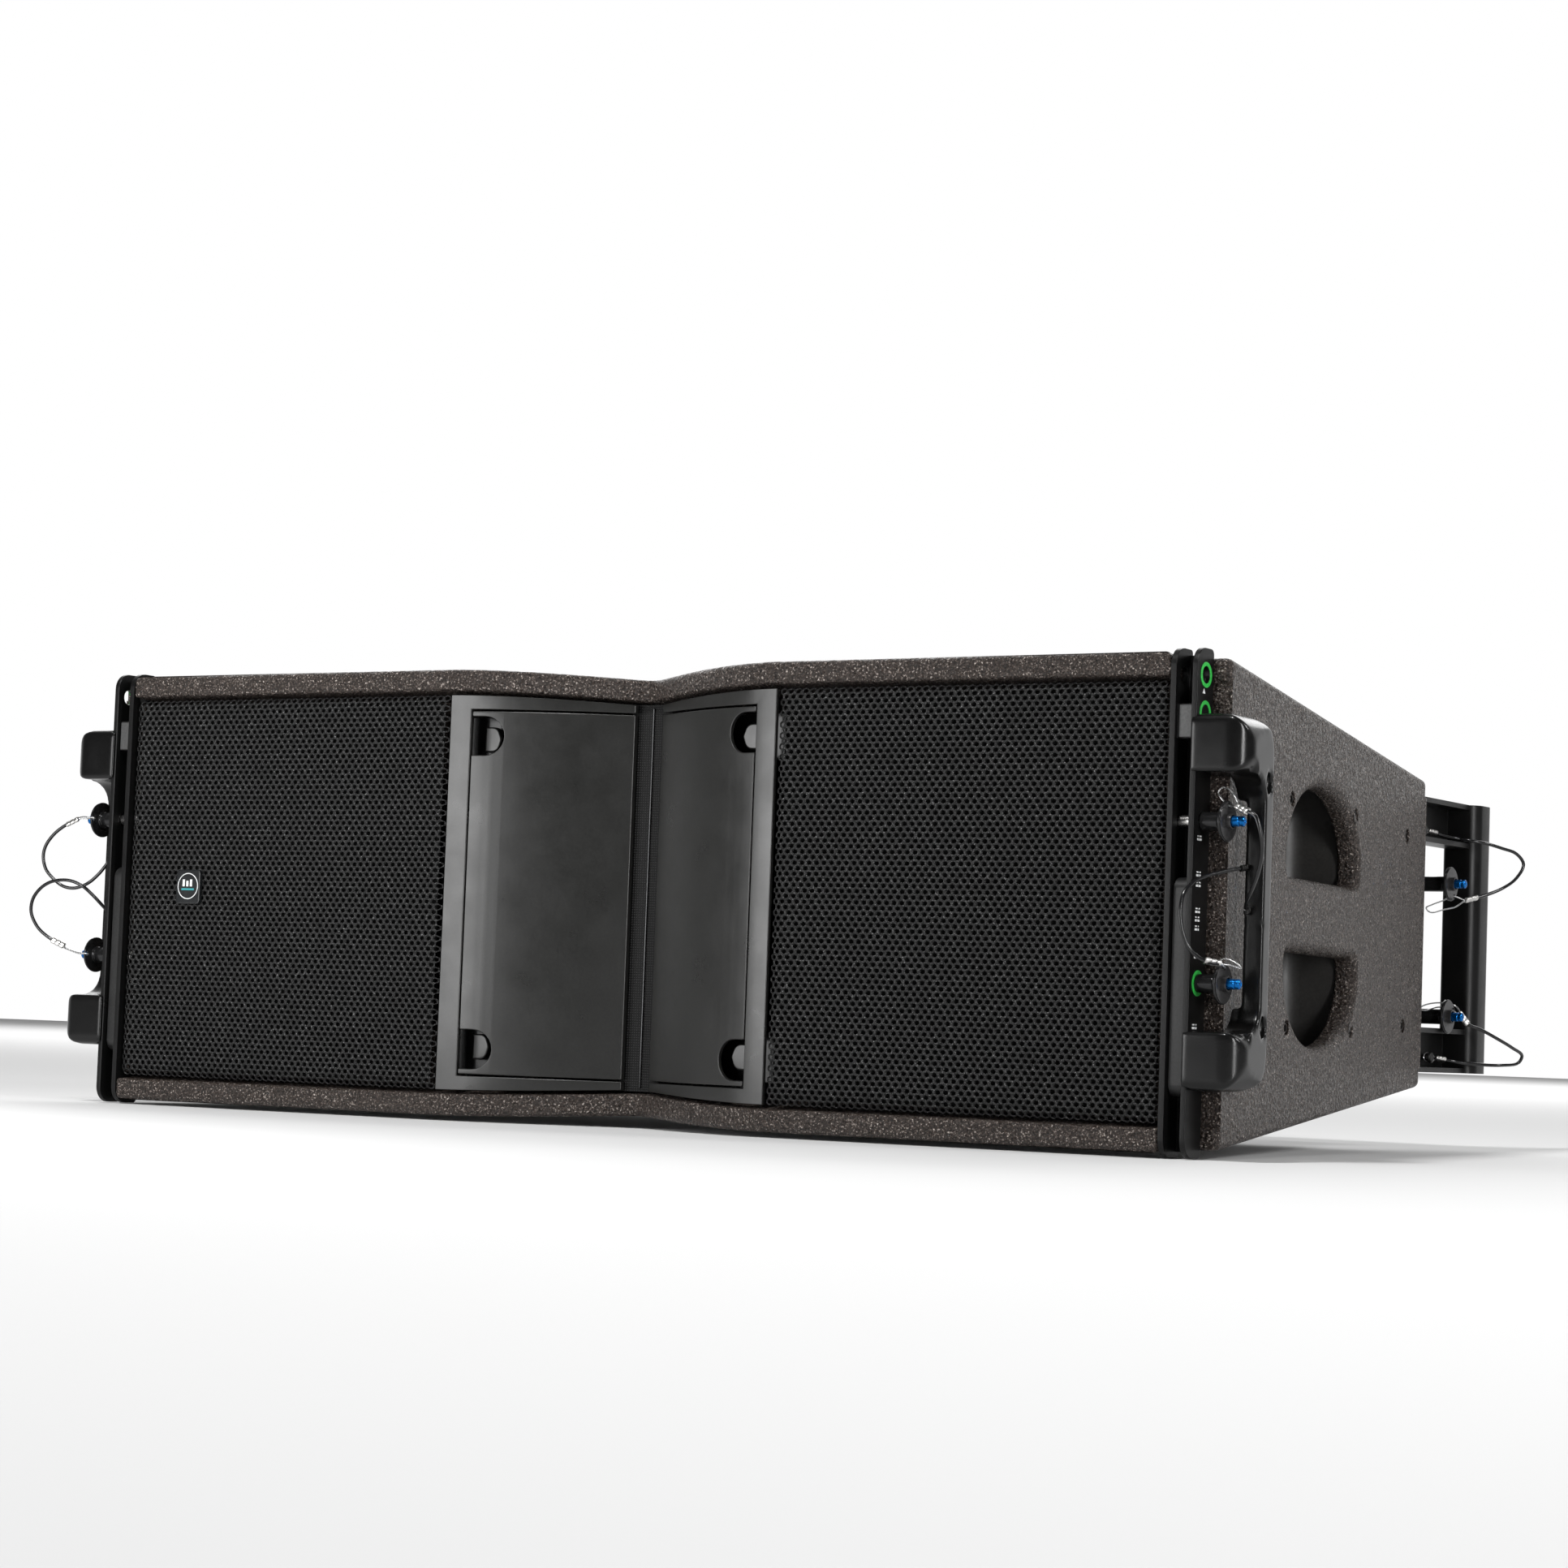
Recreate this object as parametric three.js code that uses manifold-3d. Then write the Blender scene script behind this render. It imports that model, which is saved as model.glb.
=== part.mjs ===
// Line array loudspeaker element: a tapered plywood box with two woofers either side of a
// V-shaped high-frequency waveguide, rigging channels with swing-out link arms on the front
// corners, rear rigging brackets and handles, and captive quick-release pins.
// Units are millimetres, +Z up, and the front of the loudspeaker faces -Y.
import * as THREE from 'three';
import { mergeVertices } from 'three/addons/utils/BufferGeometryUtils.js';
import Module from 'manifold-3d';

const wasm = await Module();
wasm.setup();

// ---- Driving dimensions ------------------------------------------------------------------
// All places below are in the design frame: X = 0 is the centre plane, Y = 0 is the front
// edge of the box and Z = 0 is the horizontal mid-plane. The last group moves the whole
// assembly so that its origin is under the middle of its bounding box.
const FRONT_HALF = 123;         // half height of the wooden box at its front edge
const TAPER = 0.089;            // how much the top falls, and the bottom rises, per mm of depth
const BOX_DEPTH = 385;
const PLY = 12;                 // panel thickness
const GAP = 0.4;                // joint gap between separate pieces
const CHANNEL_X = 333.2;        // half width of the front between the two rigging channels
const STEP_Y = 18.8;            // depth of the corner notch that takes the rigging channel
const SIDE_FRONT_X = 357.4;     // half width over the side panels at their front
const SIDE_START = 2;           // the side panels start this far behind the corner notch
const SIDE_REAR_X = 314.4;      // half width over the side panels at the rear
const VALLEY_DEPTH = 46;        // how far the front edge runs back at the centre
const VALLEY_HALF = 105;        // half width of the valley in the front edge
const VALLEY_POWER = 1.6;

const RIG_HALF = 125;           // half height of the rigging plates
const PLATE = 3;                // thickness of the rigging plates
const CHANNEL_DEPTH = 18.4;
const INNER_PLATE_X = 333.6;
const OUTER_PLATE_X = 345.2;
const FRONT_PIN_Y = 9.4;
const FRONT_PIN_Z = [39.6, -39.6];
const LINK_HOLE_Z = 111.6;
const LINK_PIVOT = { y: 8.8, z: -89 };

const HANDLE_HALF = 92;         // front handle: half height
const HANDLE_OUT_X = 376.5;     // front handle: reach from the centre plane
const HANDLE_FRONT_Y = -2;
const HANDLE_REAR_Y = 40;

const BRACKET_IN_X = 270;       // rear bracket: inner face of the inner plate
const BRACKET_OUT_X = 286;      // rear bracket: outer face of the outer plate
const BRACKET_REAR_Y = 447;
const REAR_PIN_Y = 428;
const REAR_PIN_Z = [31, -47];
const REAR_HANDLE_X = [295, 317];
const REAR_EAR_OUT_X = 311.5;    // the ears reach this far from the centre plane
const REAR_HANDLE_Y = [461, 487];
const REAR_EAR_Z = [54, 80];

const WOOFER_X = 221;
const GRILLE = { inX: 107, outX: 332.8, half: 108.8, frontY: 1, backY: 6, corner: 4 };
const FIN = { outX: 91.8, inX: 9, half: 99.6, thick: 3 };
const CLOTH = { halfWidth: 13, half: 105.6, frontY: 44.9, backY: 47.4 };
const FRAME_OUT_X = 105.5;
const WALL_SETBACK = 2.5;       // the waveguide frames lie this far behind the front edge

const CORD_RADIUS = 1;
const LANYARD_STEPS = 24;
const ORIGIN_Y = (HANDLE_FRONT_Y + REAR_HANDLE_Y[1]) / 2;

// ---- Materials ---------------------------------------------------------------------------
const finishes = {
  textured: { color: 0x2a2625, roughness: 0.75, metalness: 0 },
  satin: { color: 0x3f3f3d, roughness: 0.45, metalness: 0 },
  powder: { color: 0x161616, roughness: 0.4, metalness: 0.3 },
  moulded: { color: 0x1a1b1b, roughness: 0.35, metalness: 0 },
  mesh: { color: 0x101010, roughness: 0.9, metalness: 0 },
  steel: { color: 0xa8a8a6, roughness: 0.3, metalness: 0.9 },
  blue: { color: 0x0a5c96, roughness: 0.25, metalness: 0.6 },
  rubber: { color: 0x0c0c0c, roughness: 0.5, metalness: 0 },
  board: { color: 0x1f4a2c, roughness: 0.6, metalness: 0 },
};

function finish(name) {
  return new THREE.MeshStandardMaterial(finishes[name]);
}

// ---- Geometry helpers --------------------------------------------------------------------
// Keeps position only and welds the corners, which both the solids and the export need.
function welded(geometry) {
  const plain = geometry.index ? geometry.toNonIndexed() : geometry.clone();
  for (const name of Object.keys(plain.attributes)) {
    if (name !== 'position') plain.deleteAttribute(name);
  }
  return mergeVertices(plain, 1e-4);
}

function solid(geometry) {
  const source = welded(geometry);
  return new wasm.Manifold(new wasm.Mesh({
    numProp: 3,
    vertProperties: new Float32Array(source.attributes.position.array),
    triVerts: new Uint32Array(source.index.array),
  }));
}

function geometryOf(body) {
  const mesh = body.getMesh();
  const geometry = new THREE.BufferGeometry();
  geometry.setAttribute('position', new THREE.BufferAttribute(new Float32Array(mesh.vertProperties), 3));
  geometry.setIndex(new THREE.BufferAttribute(new Uint32Array(mesh.triVerts), 1));
  return geometry;
}

function join(...geometries) {
  return geometryOf(geometries.map(solid).reduce((sum, next) => sum.add(next)));
}

function cut(geometry, ...tools) {
  return geometryOf(tools.map(solid).reduce((rest, tool) => rest.subtract(tool), solid(geometry)));
}

function common(a, b) {
  return geometryOf(solid(a).intersect(solid(b)));
}

function shapeOf(points) {
  return new THREE.Shape(points.map(([a, b]) => new THREE.Vector2(a, b)));
}

// Points along an arc, both ends included; angles in degrees.
function arc(centreA, centreB, radius, from, to, steps) {
  return Array.from({ length: steps + 1 }, (_, i) => {
    const angle = THREE.MathUtils.degToRad(from + (to - from) * i / steps);
    return [centreA + radius * Math.cos(angle), centreB + radius * Math.sin(angle)];
  });
}

function circle(centreA, centreB, radius, sides) {
  return arc(centreA, centreB, radius, 0, 360, sides).slice(0, -1);
}

// Rounded rectangle, counter-clockwise; radii are lower left, lower right, upper right, upper left.
function roundedRectangle(a0, b0, a1, b1, radii, steps = 4) {
  const [ll, lr, ur, ul] = radii;
  const corner = (a, b, r, from) => (r > 0 ? arc(a, b, r, from, from + 90, steps) : [[a, b]]);
  return [
    ...corner(a0 + ll, b0 + ll, ll, 180),
    ...corner(a1 - lr, b0 + lr, lr, 270),
    ...corner(a1 - ur, b1 - ur, ur, 0),
    ...corner(a0 + ul, b1 - ul, ul, 90),
  ];
}

// Extrudes an outline with optional holes along the axis named last.
function extrudeZ(outline, z0, z1, holes = []) {
  const shape = shapeOf(outline);
  shape.holes = holes.map(shapeOf);
  const geometry = new THREE.ExtrudeGeometry(shape, { depth: z1 - z0, bevelEnabled: false });
  return geometry.translate(0, 0, z0);
}

function extrudeX(outlineYZ, x0, x1, holes = []) {
  const geometry = extrudeZ(outlineYZ, x0, x1, holes);
  const basis = new THREE.Matrix4().makeBasis(
    new THREE.Vector3(0, 1, 0), new THREE.Vector3(0, 0, 1), new THREE.Vector3(1, 0, 0));
  return geometry.applyMatrix4(basis);
}

function extrudeY(outlineXZ, y0, y1, holes = []) {
  return extrudeZ(outlineXZ, -y1, -y0, holes).rotateX(Math.PI / 2);
}

function block(x0, x1, y0, y1, z0, z1) {
  return new THREE.BoxGeometry(x1 - x0, y1 - y0, z1 - z0)
    .translate((x0 + x1) / 2, (y0 + y1) / 2, (z0 + z1) / 2);
}

// Turned solid about X: profile holds [x, radius] pairs and starts and ends on the axis.
function turnedX(profile, y, z, sides) {
  const points = profile.map(([x, radius]) => new THREE.Vector2(radius, x));
  return new THREE.LatheGeometry(points, sides).rotateZ(-Math.PI / 2).translate(0, y, z);
}

// Turned solid about Y: profile holds [y, radius] pairs.
function turnedY(profile, x, z, sides) {
  const points = profile.map(([y, radius]) => new THREE.Vector2(radius, y));
  return new THREE.LatheGeometry(points, sides).translate(x, 0, z);
}

// Turns every triangle of an inside-out solid round, and leaves a sound one alone.
function facingOut(geometry) {
  const source = welded(geometry);
  const p = source.attributes.position;
  const index = source.index.array;
  const a = new THREE.Vector3();
  const b = new THREE.Vector3();
  const c = new THREE.Vector3();
  let volume = 0;
  for (let i = 0; i < index.length; i += 3) {
    a.fromBufferAttribute(p, index[i]);
    b.fromBufferAttribute(p, index[i + 1]);
    c.fromBufferAttribute(p, index[i + 2]);
    volume += a.dot(b.cross(c));
  }
  if (volume < 0) {
    for (let i = 0; i < index.length; i += 3) {
      [index[i], index[i + 1]] = [index[i + 1], index[i]];
    }
  }
  return source;
}

// Moves each corner by a function of its place.
function bent(geometry, move) {
  const result = welded(geometry);
  const p = result.attributes.position;
  for (let i = 0; i < p.count; i++) {
    const [x, y, z] = move(p.getX(i), p.getY(i), p.getZ(i));
    p.setXYZ(i, x, y, z);
  }
  return result;
}

const assembly = new THREE.Group();

function add(name, finishName, geometry) {
  const mesh = new THREE.Mesh(facingOut(geometry), finish(finishName));
  mesh.name = name;
  assembly.add(mesh);
}

// Adds a piece of the right-hand side and its mirror image on the left.
function addPair(name, finishName, geometry) {
  add(`${name}_right`, finishName, geometry);
  add(`${name}_left`, finishName, geometry.clone().scale(-1, 1, 1));
}

// ---- Wooden box --------------------------------------------------------------------------
// Depth of the front edge behind its foremost line, as a function of the distance from centre.
function valley(x) {
  const inward = Math.max(0, VALLEY_HALF - Math.hypot(x, 5)) / VALLEY_HALF;
  return VALLEY_DEPTH * inward ** VALLEY_POWER;
}

function valleyPoints(xs, setback) {
  return xs.map((x) => [x, valley(x) + setback]);
}

const VALLEY_STEPS = 24;
const valleyXs = Array.from({ length: VALLEY_STEPS + 1 },
  (_, i) => -VALLEY_HALF + (2 * VALLEY_HALF * i) / VALLEY_STEPS);

function topPanel() {
  const sideCorner = 4;
  const right = [
    [CHANNEL_X, 0], [CHANNEL_X, STEP_Y], [SIDE_FRONT_X - sideCorner, STEP_Y],
    [SIDE_FRONT_X - 1, STEP_Y + 1.2], [SIDE_FRONT_X, STEP_Y + sideCorner], [SIDE_REAR_X, BOX_DEPTH],
  ];
  const left = right.map(([x, y]) => [-x, y]).reverse();
  const sheet = extrudeZ([...valleyPoints(valleyXs, 0), ...right, ...left], FRONT_HALF - PLY, FRONT_HALF);
  return bent(sheet, (x, y, z) => [x, y, z - TAPER * y]);
}

add('top_panel', 'textured', topPanel());
add('bottom_panel', 'textured', topPanel().scale(1, 1, -1));

// The side panels stand in planes that close in towards the rear. Their own frame has u
// along the panel from its front edge, v up and w outwards from the outer face.
const sideRun = new THREE.Vector2(SIDE_REAR_X - SIDE_FRONT_X, BOX_DEPTH - STEP_Y);
const SIDE_LENGTH = sideRun.length();
const sideFrame = new THREE.Matrix4().makeBasis(
  new THREE.Vector3(sideRun.x, sideRun.y, 0).normalize(),
  new THREE.Vector3(0, 0, 1),
  new THREE.Vector3(sideRun.y, -sideRun.x, 0).normalize(),
).setPosition(SIDE_FRONT_X, STEP_Y + SIDE_START, 0);

const POCKET = { u: 165, halfLength: 64, barHalf: 19.5, rise: 49, depth: 34, wall: 2.5, half: 71 };

// Outline of one hand hole: flat along the grip bar and domed away from it.
function pocketMouth(sign) {
  const dome = Array.from({ length: 17 }, (_, i) => {
    const angle = Math.PI * i / 16;
    return [POCKET.u + POCKET.halfLength * Math.cos(angle),
      POCKET.barHalf + 3 + (POCKET.rise - 3) * Math.sin(angle)];
  });
  const outline = [
    [POCKET.u - POCKET.halfLength + 3, POCKET.barHalf],
    [POCKET.u + POCKET.halfLength - 3, POCKET.barHalf], ...dome,
  ];
  return sign > 0 ? outline : outline.map(([u, v]) => [u, -v]).reverse();
}

function sidePanel() {
  const frontHalf = FRONT_HALF - PLY - GAP - TAPER * (STEP_Y + 1);
  const rearHalf = FRONT_HALF - PLY - GAP - TAPER * (BOX_DEPTH + 1);
  const end = SIDE_LENGTH - SIDE_START - GAP;
  const outline = [[0, -frontHalf], [end, -rearHalf], [end, rearHalf], [0, frontHalf]];
  const mouths = [pocketMouth(1), pocketMouth(-1)];
  return extrudeZ(outline, -PLY, 0, mouths).applyMatrix4(sideFrame);
}

addPair('side_panel', 'textured', sidePanel());

// The moulded cup behind the hand holes: a tray with a screw flange, open towards the panel.
function handCup() {
  const top = -PLY - GAP;
  const bottom = top - POCKET.depth - POCKET.wall;
  const u0 = POCKET.u - POCKET.halfLength - 2;
  const u1 = POCKET.u + POCKET.halfLength + 2;
  const skin = POCKET.wall;
  const tray = extrudeZ(
    roundedRectangle(u0 - skin, -POCKET.half - skin, u1 + skin, POCKET.half + skin, [14, 14, 14, 14]),
    bottom, top);
  const flange = extrudeZ(
    roundedRectangle(u0 - 12, -POCKET.half - 7, u1 + 12, POCKET.half + 7, [10, 10, 10, 10]),
    top - 3, top);
  const hollow = extrudeZ(
    roundedRectangle(u0, -POCKET.half, u1, POCKET.half, [12, 12, 12, 12]), top - POCKET.depth, top + 5);
  return cut(join(tray, flange), hollow).applyMatrix4(sideFrame);
}

addPair('hand_cup', 'satin', handCup());

const CONNECTOR = { half: 62, height: 34, cutHalf: 52, cutHeight: 26, socketX: 26, socketRadius: 11.5 };

function rearPanel() {
  const half = FRONT_HALF - PLY - GAP - TAPER * BOX_DEPTH;
  const wide = SIDE_REAR_X - PLY - GAP;
  const panel = [[-wide, -half], [wide, -half], [wide, half], [-wide, half]];
  const opening = roundedRectangle(-CONNECTOR.cutHalf, -CONNECTOR.cutHeight,
    CONNECTOR.cutHalf, CONNECTOR.cutHeight, [3, 3, 3, 3]);
  return extrudeY(panel, BOX_DEPTH - PLY, BOX_DEPTH, [opening]);
}

add('rear_panel', 'textured', rearPanel());

const BAFFLE_Y = 28;

// The board that carries one woofer, with the wall that closes the box off beside the channel.
function frontBaffle() {
  const half = FRONT_HALF - PLY - GAP - TAPER * (BAFFLE_Y + PLY);
  const board = extrudeY([[112, -half], [340, -half], [340, half], [112, half]],
    BAFFLE_Y, BAFFLE_Y + PLY, [circle(WOOFER_X, 0, 93, 24)]);
  return join(board, block(329.7, 331.3, GRILLE.backY + GAP, BAFFLE_Y + 1, -half, half));
}

addPair('front_baffle', 'textured', frontBaffle());

// ---- Drive units and electronics ---------------------------------------------------------
function woofer() {
  const front = BAFFLE_Y - GAP;
  return turnedY([
    [60, 0], [58, 24], [28, 78], [25, 84], [24, 90], [front - 4, 96], [front - 4, 104],
    [front, 104], [front, 90], [46, 86], [82, 52], [84, 60], [112, 60], [114, 55], [114, 0],
  ], WOOFER_X, 0, 24);
}

addPair('woofer', 'moulded', woofer());

const HORN_BACK_Y = 110;

add('compression_driver', 'powder', turnedY([
  [HORN_BACK_Y + GAP, 0], [HORN_BACK_Y + GAP, 38], [118, 38], [118, 52], [150, 52], [156, 46], [156, 0],
], 0, 0, 20));

function crossoverBoard() {
  const y = 300;
  return join(
    block(-80, 80, y, y + 2, -45, 45),
    turnedY([[y - 22, 0], [y - 22, 18], [y + 0.5, 18], [y + 0.5, 0]], -48, 12, 16),
    turnedY([[y - 18, 0], [y - 18, 14], [y + 0.5, 14], [y + 0.5, 0]], 4, -16, 16),
    block(34, 66, y - 24, y + 0.5, -6, 24));
}

add('crossover_board', 'board', crossoverBoard());

function connectorPlate() {
  const face = BOX_DEPTH + GAP;
  const sockets = [-CONNECTOR.socketX, CONNECTOR.socketX];
  const housings = sockets.map((x) => turnedY(
    [[face - 24, 0], [face - 24, 14], [face + 5, 13.6], [face + 5, 0]], x, 0, 16));
  const bores = sockets.map((x) => turnedY(
    [[face - 20, 0], [face - 20, CONNECTOR.socketRadius], [face + 8, CONNECTOR.socketRadius], [face + 8, 0]],
    x, 0, 16));
  const plate = extrudeY(roundedRectangle(-CONNECTOR.half, -CONNECTOR.height, CONNECTOR.half,
    CONNECTOR.height, [4, 4, 4, 4]), face, face + 2);
  return cut(join(plate, ...housings), ...bores);
}

add('connector_plate', 'powder', connectorPlate());

// ---- Grilles -----------------------------------------------------------------------------
function grille() {
  const r = GRILLE.corner;
  return extrudeY(roundedRectangle(GRILLE.inX, -GRILLE.half, GRILLE.outX, GRILLE.half, [2, r, r, 2]),
    GRILLE.frontY, GRILLE.backY);
}

addPair('grille', 'mesh', grille());

// ---- Waveguide ---------------------------------------------------------------------------
// Plan outline of a strip that follows the valley from outX to inX, thick towards the rear.
function valleyStrip(inX, outX, setback, thick, steps) {
  const xs = Array.from({ length: steps + 1 }, (_, i) => inX + (outX - inX) * i / steps);
  return [...valleyPoints(xs, setback), ...valleyPoints(xs, setback + thick).reverse()];
}

function waveguideFrame() {
  const windowHalf = FIN.half + 1;
  const strip = extrudeZ(valleyStrip(FIN.inX, FRAME_OUT_X, WALL_SETBACK, FIN.thick, 14), -1, 1);
  const band = bent(strip, (x, y, z) => [x, y, z * (FRONT_HALF - PLY - 2 - TAPER * y)]);
  return cut(band, block(0, FIN.outX + 0.7, -20, 80, -windowHalf, windowHalf));
}

addPair('waveguide_frame', 'satin', waveguideFrame());

const NOTCH = { z: 86, radius: 10.7, straight: 7.5 };

// One D-shaped finger notch at the outer edge of a fin, as a tool that cuts through it.
function notch(z) {
  const centre = FIN.outX - NOTCH.straight;
  const r = NOTCH.radius;
  return extrudeY([[FIN.outX + 5, z + r], ...arc(centre, z, r, 90, 270, 12), [FIN.outX + 5, z - r]], -10, 40);
}

function fin() {
  const strip = extrudeZ(valleyStrip(FIN.inX, FIN.outX, WALL_SETBACK, FIN.thick, 14), -FIN.half, FIN.half);
  return cut(strip, notch(NOTCH.z), notch(-NOTCH.z));
}

addPair('fin', 'satin', fin());

// The horn body lies behind the fins, with the slot for the cloth at its centre and four
// latch bosses that show through the finger notches.
function waveguideBody() {
  const setback = WALL_SETBACK + 14;
  const outer = 103;
  const xs = Array.from({ length: 15 }, (_, i) => outer - (outer - 13) * i / 14);
  const right = [
    [9.5, 56], ...valleyPoints([...xs].reverse(), setback), [outer, 72], [62, HORN_BACK_Y],
  ];
  const left = right.map(([x, y]) => [-x, y]).reverse();
  const body = extrudeZ([...right, ...left], -97, 97);
  const bosses = [-1, 1].flatMap((side) => [-84.5, 84.5].map((z) => {
    const r = 6.75;
    const outline = [[89.5, z - r], [89.5, z + r], ...arc(87.75, z, r, 90, 270, 8)];
    return extrudeY(outline.map(([x, v]) => [side * x, v]), 15, 30);
  }));
  return join(body, ...bosses.map(facingOut));
}

add('waveguide_body', 'moulded', waveguideBody());
add('waveguide_cloth', 'mesh', block(-CLOTH.halfWidth, CLOTH.halfWidth, CLOTH.frontY, CLOTH.backY,
  -CLOTH.half, CLOTH.half));

// ---- Front rigging -----------------------------------------------------------------------
function rigOutline() {
  return roundedRectangle(0, -RIG_HALF, CHANNEL_DEPTH, RIG_HALF, [9, 2, 2, 9], 5);
}

const frontPinHoles = FRONT_PIN_Z.map((z) => circle(FRONT_PIN_Y, z, 3.7, 16));
const linkHole = circle(FRONT_PIN_Y, LINK_HOLE_Z, 4.3, 16);

// The inner plate carries the back web, the stop block and the pivot stud of the link arm.
function riggingChannel() {
  const innerFace = INNER_PLATE_X + PLATE;
  const reach = OUTER_PLATE_X - GAP;
  const plate = extrudeX(rigOutline(), INNER_PLATE_X, innerFace, [...frontPinHoles, linkHole]);
  const web = block(innerFace - 1, reach, CHANNEL_DEPTH - PLATE, CHANNEL_DEPTH, -RIG_HALF + 3, RIG_HALF - 3);
  const stop = block(innerFace - 1, reach, 3, CHANNEL_DEPTH - 1, 80, 97);
  const stud = turnedX([[innerFace - 1, 0], [innerFace - 1, 3.4], [reach, 3.4], [reach, 0]],
    LINK_PIVOT.y, LINK_PIVOT.z, 16);
  return join(plate, web, stop, stud);
}

addPair('rigging_channel', 'powder', riggingChannel());

function outerPlate() {
  return extrudeX(rigOutline(), OUTER_PLATE_X, OUTER_PLATE_X + PLATE, [...frontPinHoles, linkHole]);
}

addPair('outer_plate', 'powder', outerPlate());

// The link arm turns about its lower end. A notch in its rear edge lets it come off the
// lower pin as it swings forwards.
function linkArm() {
  const { y, z } = LINK_PIVOT;
  const r = 6.2;
  const top = 12;
  const outline = [...arc(y, z, r, 180, 360, 8), ...arc(y, top - r, r, 0, 180, 8)];
  const bar = extrudeX(outline, INNER_PLATE_X + PLATE + 0.6, OUTER_PLATE_X - 0.8, [circle(y, z, 3.8, 16)]);
  const lowerPin = FRONT_PIN_Z[1];
  return cut(bar, block(300, 380, 5.6, 30, lowerPin - 4.5, lowerPin + 4.5));
}

addPair('link_arm', 'steel', linkArm());

// The moulded handle: two posts that cover the front edge of the outer plate, and a grip
// bar set back between them that follows the closing-in of the side panel.
function frontHandle() {
  const front = HANDLE_FRONT_Y;
  const rear = HANDLE_REAR_Y;
  const profile = [
    ...arc(front + 4, -HANDLE_HALF + 4, 4, 180, 270, 3),
    ...arc(rear - 20, -HANDLE_HALF + 20, 20, 270, 360, 6),
    ...arc(rear - 20, HANDLE_HALF - 20, 20, 0, 90, 6),
    ...arc(front + 4, HANDLE_HALF - 4, 4, 90, 180, 3),
    [front, 63], ...arc(13, 49, 14, 90, 0, 6), ...arc(13, -49, 14, 0, -90, 6), [front, -63],
  ];
  const slope = (SIDE_FRONT_X - SIDE_REAR_X) / (BOX_DEPTH - STEP_Y);
  const plan = [
    [OUTER_PLATE_X + 0.3, front], ...arc(HANDLE_OUT_X - 10, front + 10, 10, -90, 0, 5),
    [HANDLE_OUT_X - slope * (rear - 8), rear], [SIDE_FRONT_X + 0.8, rear],
    [SIDE_FRONT_X + 0.8, STEP_Y - GAP], [OUTER_PLATE_X + PLATE + GAP, STEP_Y - GAP],
    [OUTER_PLATE_X + PLATE + GAP, -GAP], [OUTER_PLATE_X + 0.3, -GAP],
  ];
  const face = roundedRectangle(340, -HANDLE_HALF, HANDLE_OUT_X, HANDLE_HALF, [0, 8, 8, 0], 4);
  const sideAndPlan = common(extrudeX(profile, 340, 380), extrudeZ(plan, -100, 100));
  const body = common(sideAndPlan, extrudeY(face, front - 5, rear + 5));
  return cut(body, block(340, 363.5, 12, 60, -51, 51));
}

addPair('front_handle', 'moulded', frontHandle());

// ---- Quick-release pins ------------------------------------------------------------------
// A pin is a shank, a barrel, a flange for the lanyard and a socket for the push button.
// Places along X: tip, barrel start and flange start.
const FRONT_PIN = { tip: 331.8, barrel: OUTER_PLATE_X + PLATE + 0.6, flange: 361 };
const REAR_PIN = { tip: 268, barrel: BRACKET_OUT_X + 0.6, flange: 313 };
const PIN_RADIUS = 3.1;
const FLANGE_RADIUS = 10.2;
const BUTTON_RADIUS = 2.6;

function pin({ tip, barrel, flange }, y, z) {
  return turnedX([
    [tip, 0], [tip, 1.8], [tip + 1.6, PIN_RADIUS], [barrel, PIN_RADIUS], [barrel, 4.6],
    [flange, 4.6], [flange, FLANGE_RADIUS], [flange + 1.6, FLANGE_RADIUS], [flange + 1.6, 3.9],
    [flange + 4, 3.9], [flange + 4, 3.1], [flange + 0.6, 3.1], [flange + 0.6, 0],
  ], y, z, 12);
}

function button({ flange }, y, z) {
  return turnedX([
    [flange + 2.8, 0], [flange + 2.8, BUTTON_RADIUS], [flange + 9.6, BUTTON_RADIUS],
    [flange + 10.4, 1.8], [flange + 10.4, 0],
  ], y, z, 8);
}

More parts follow.
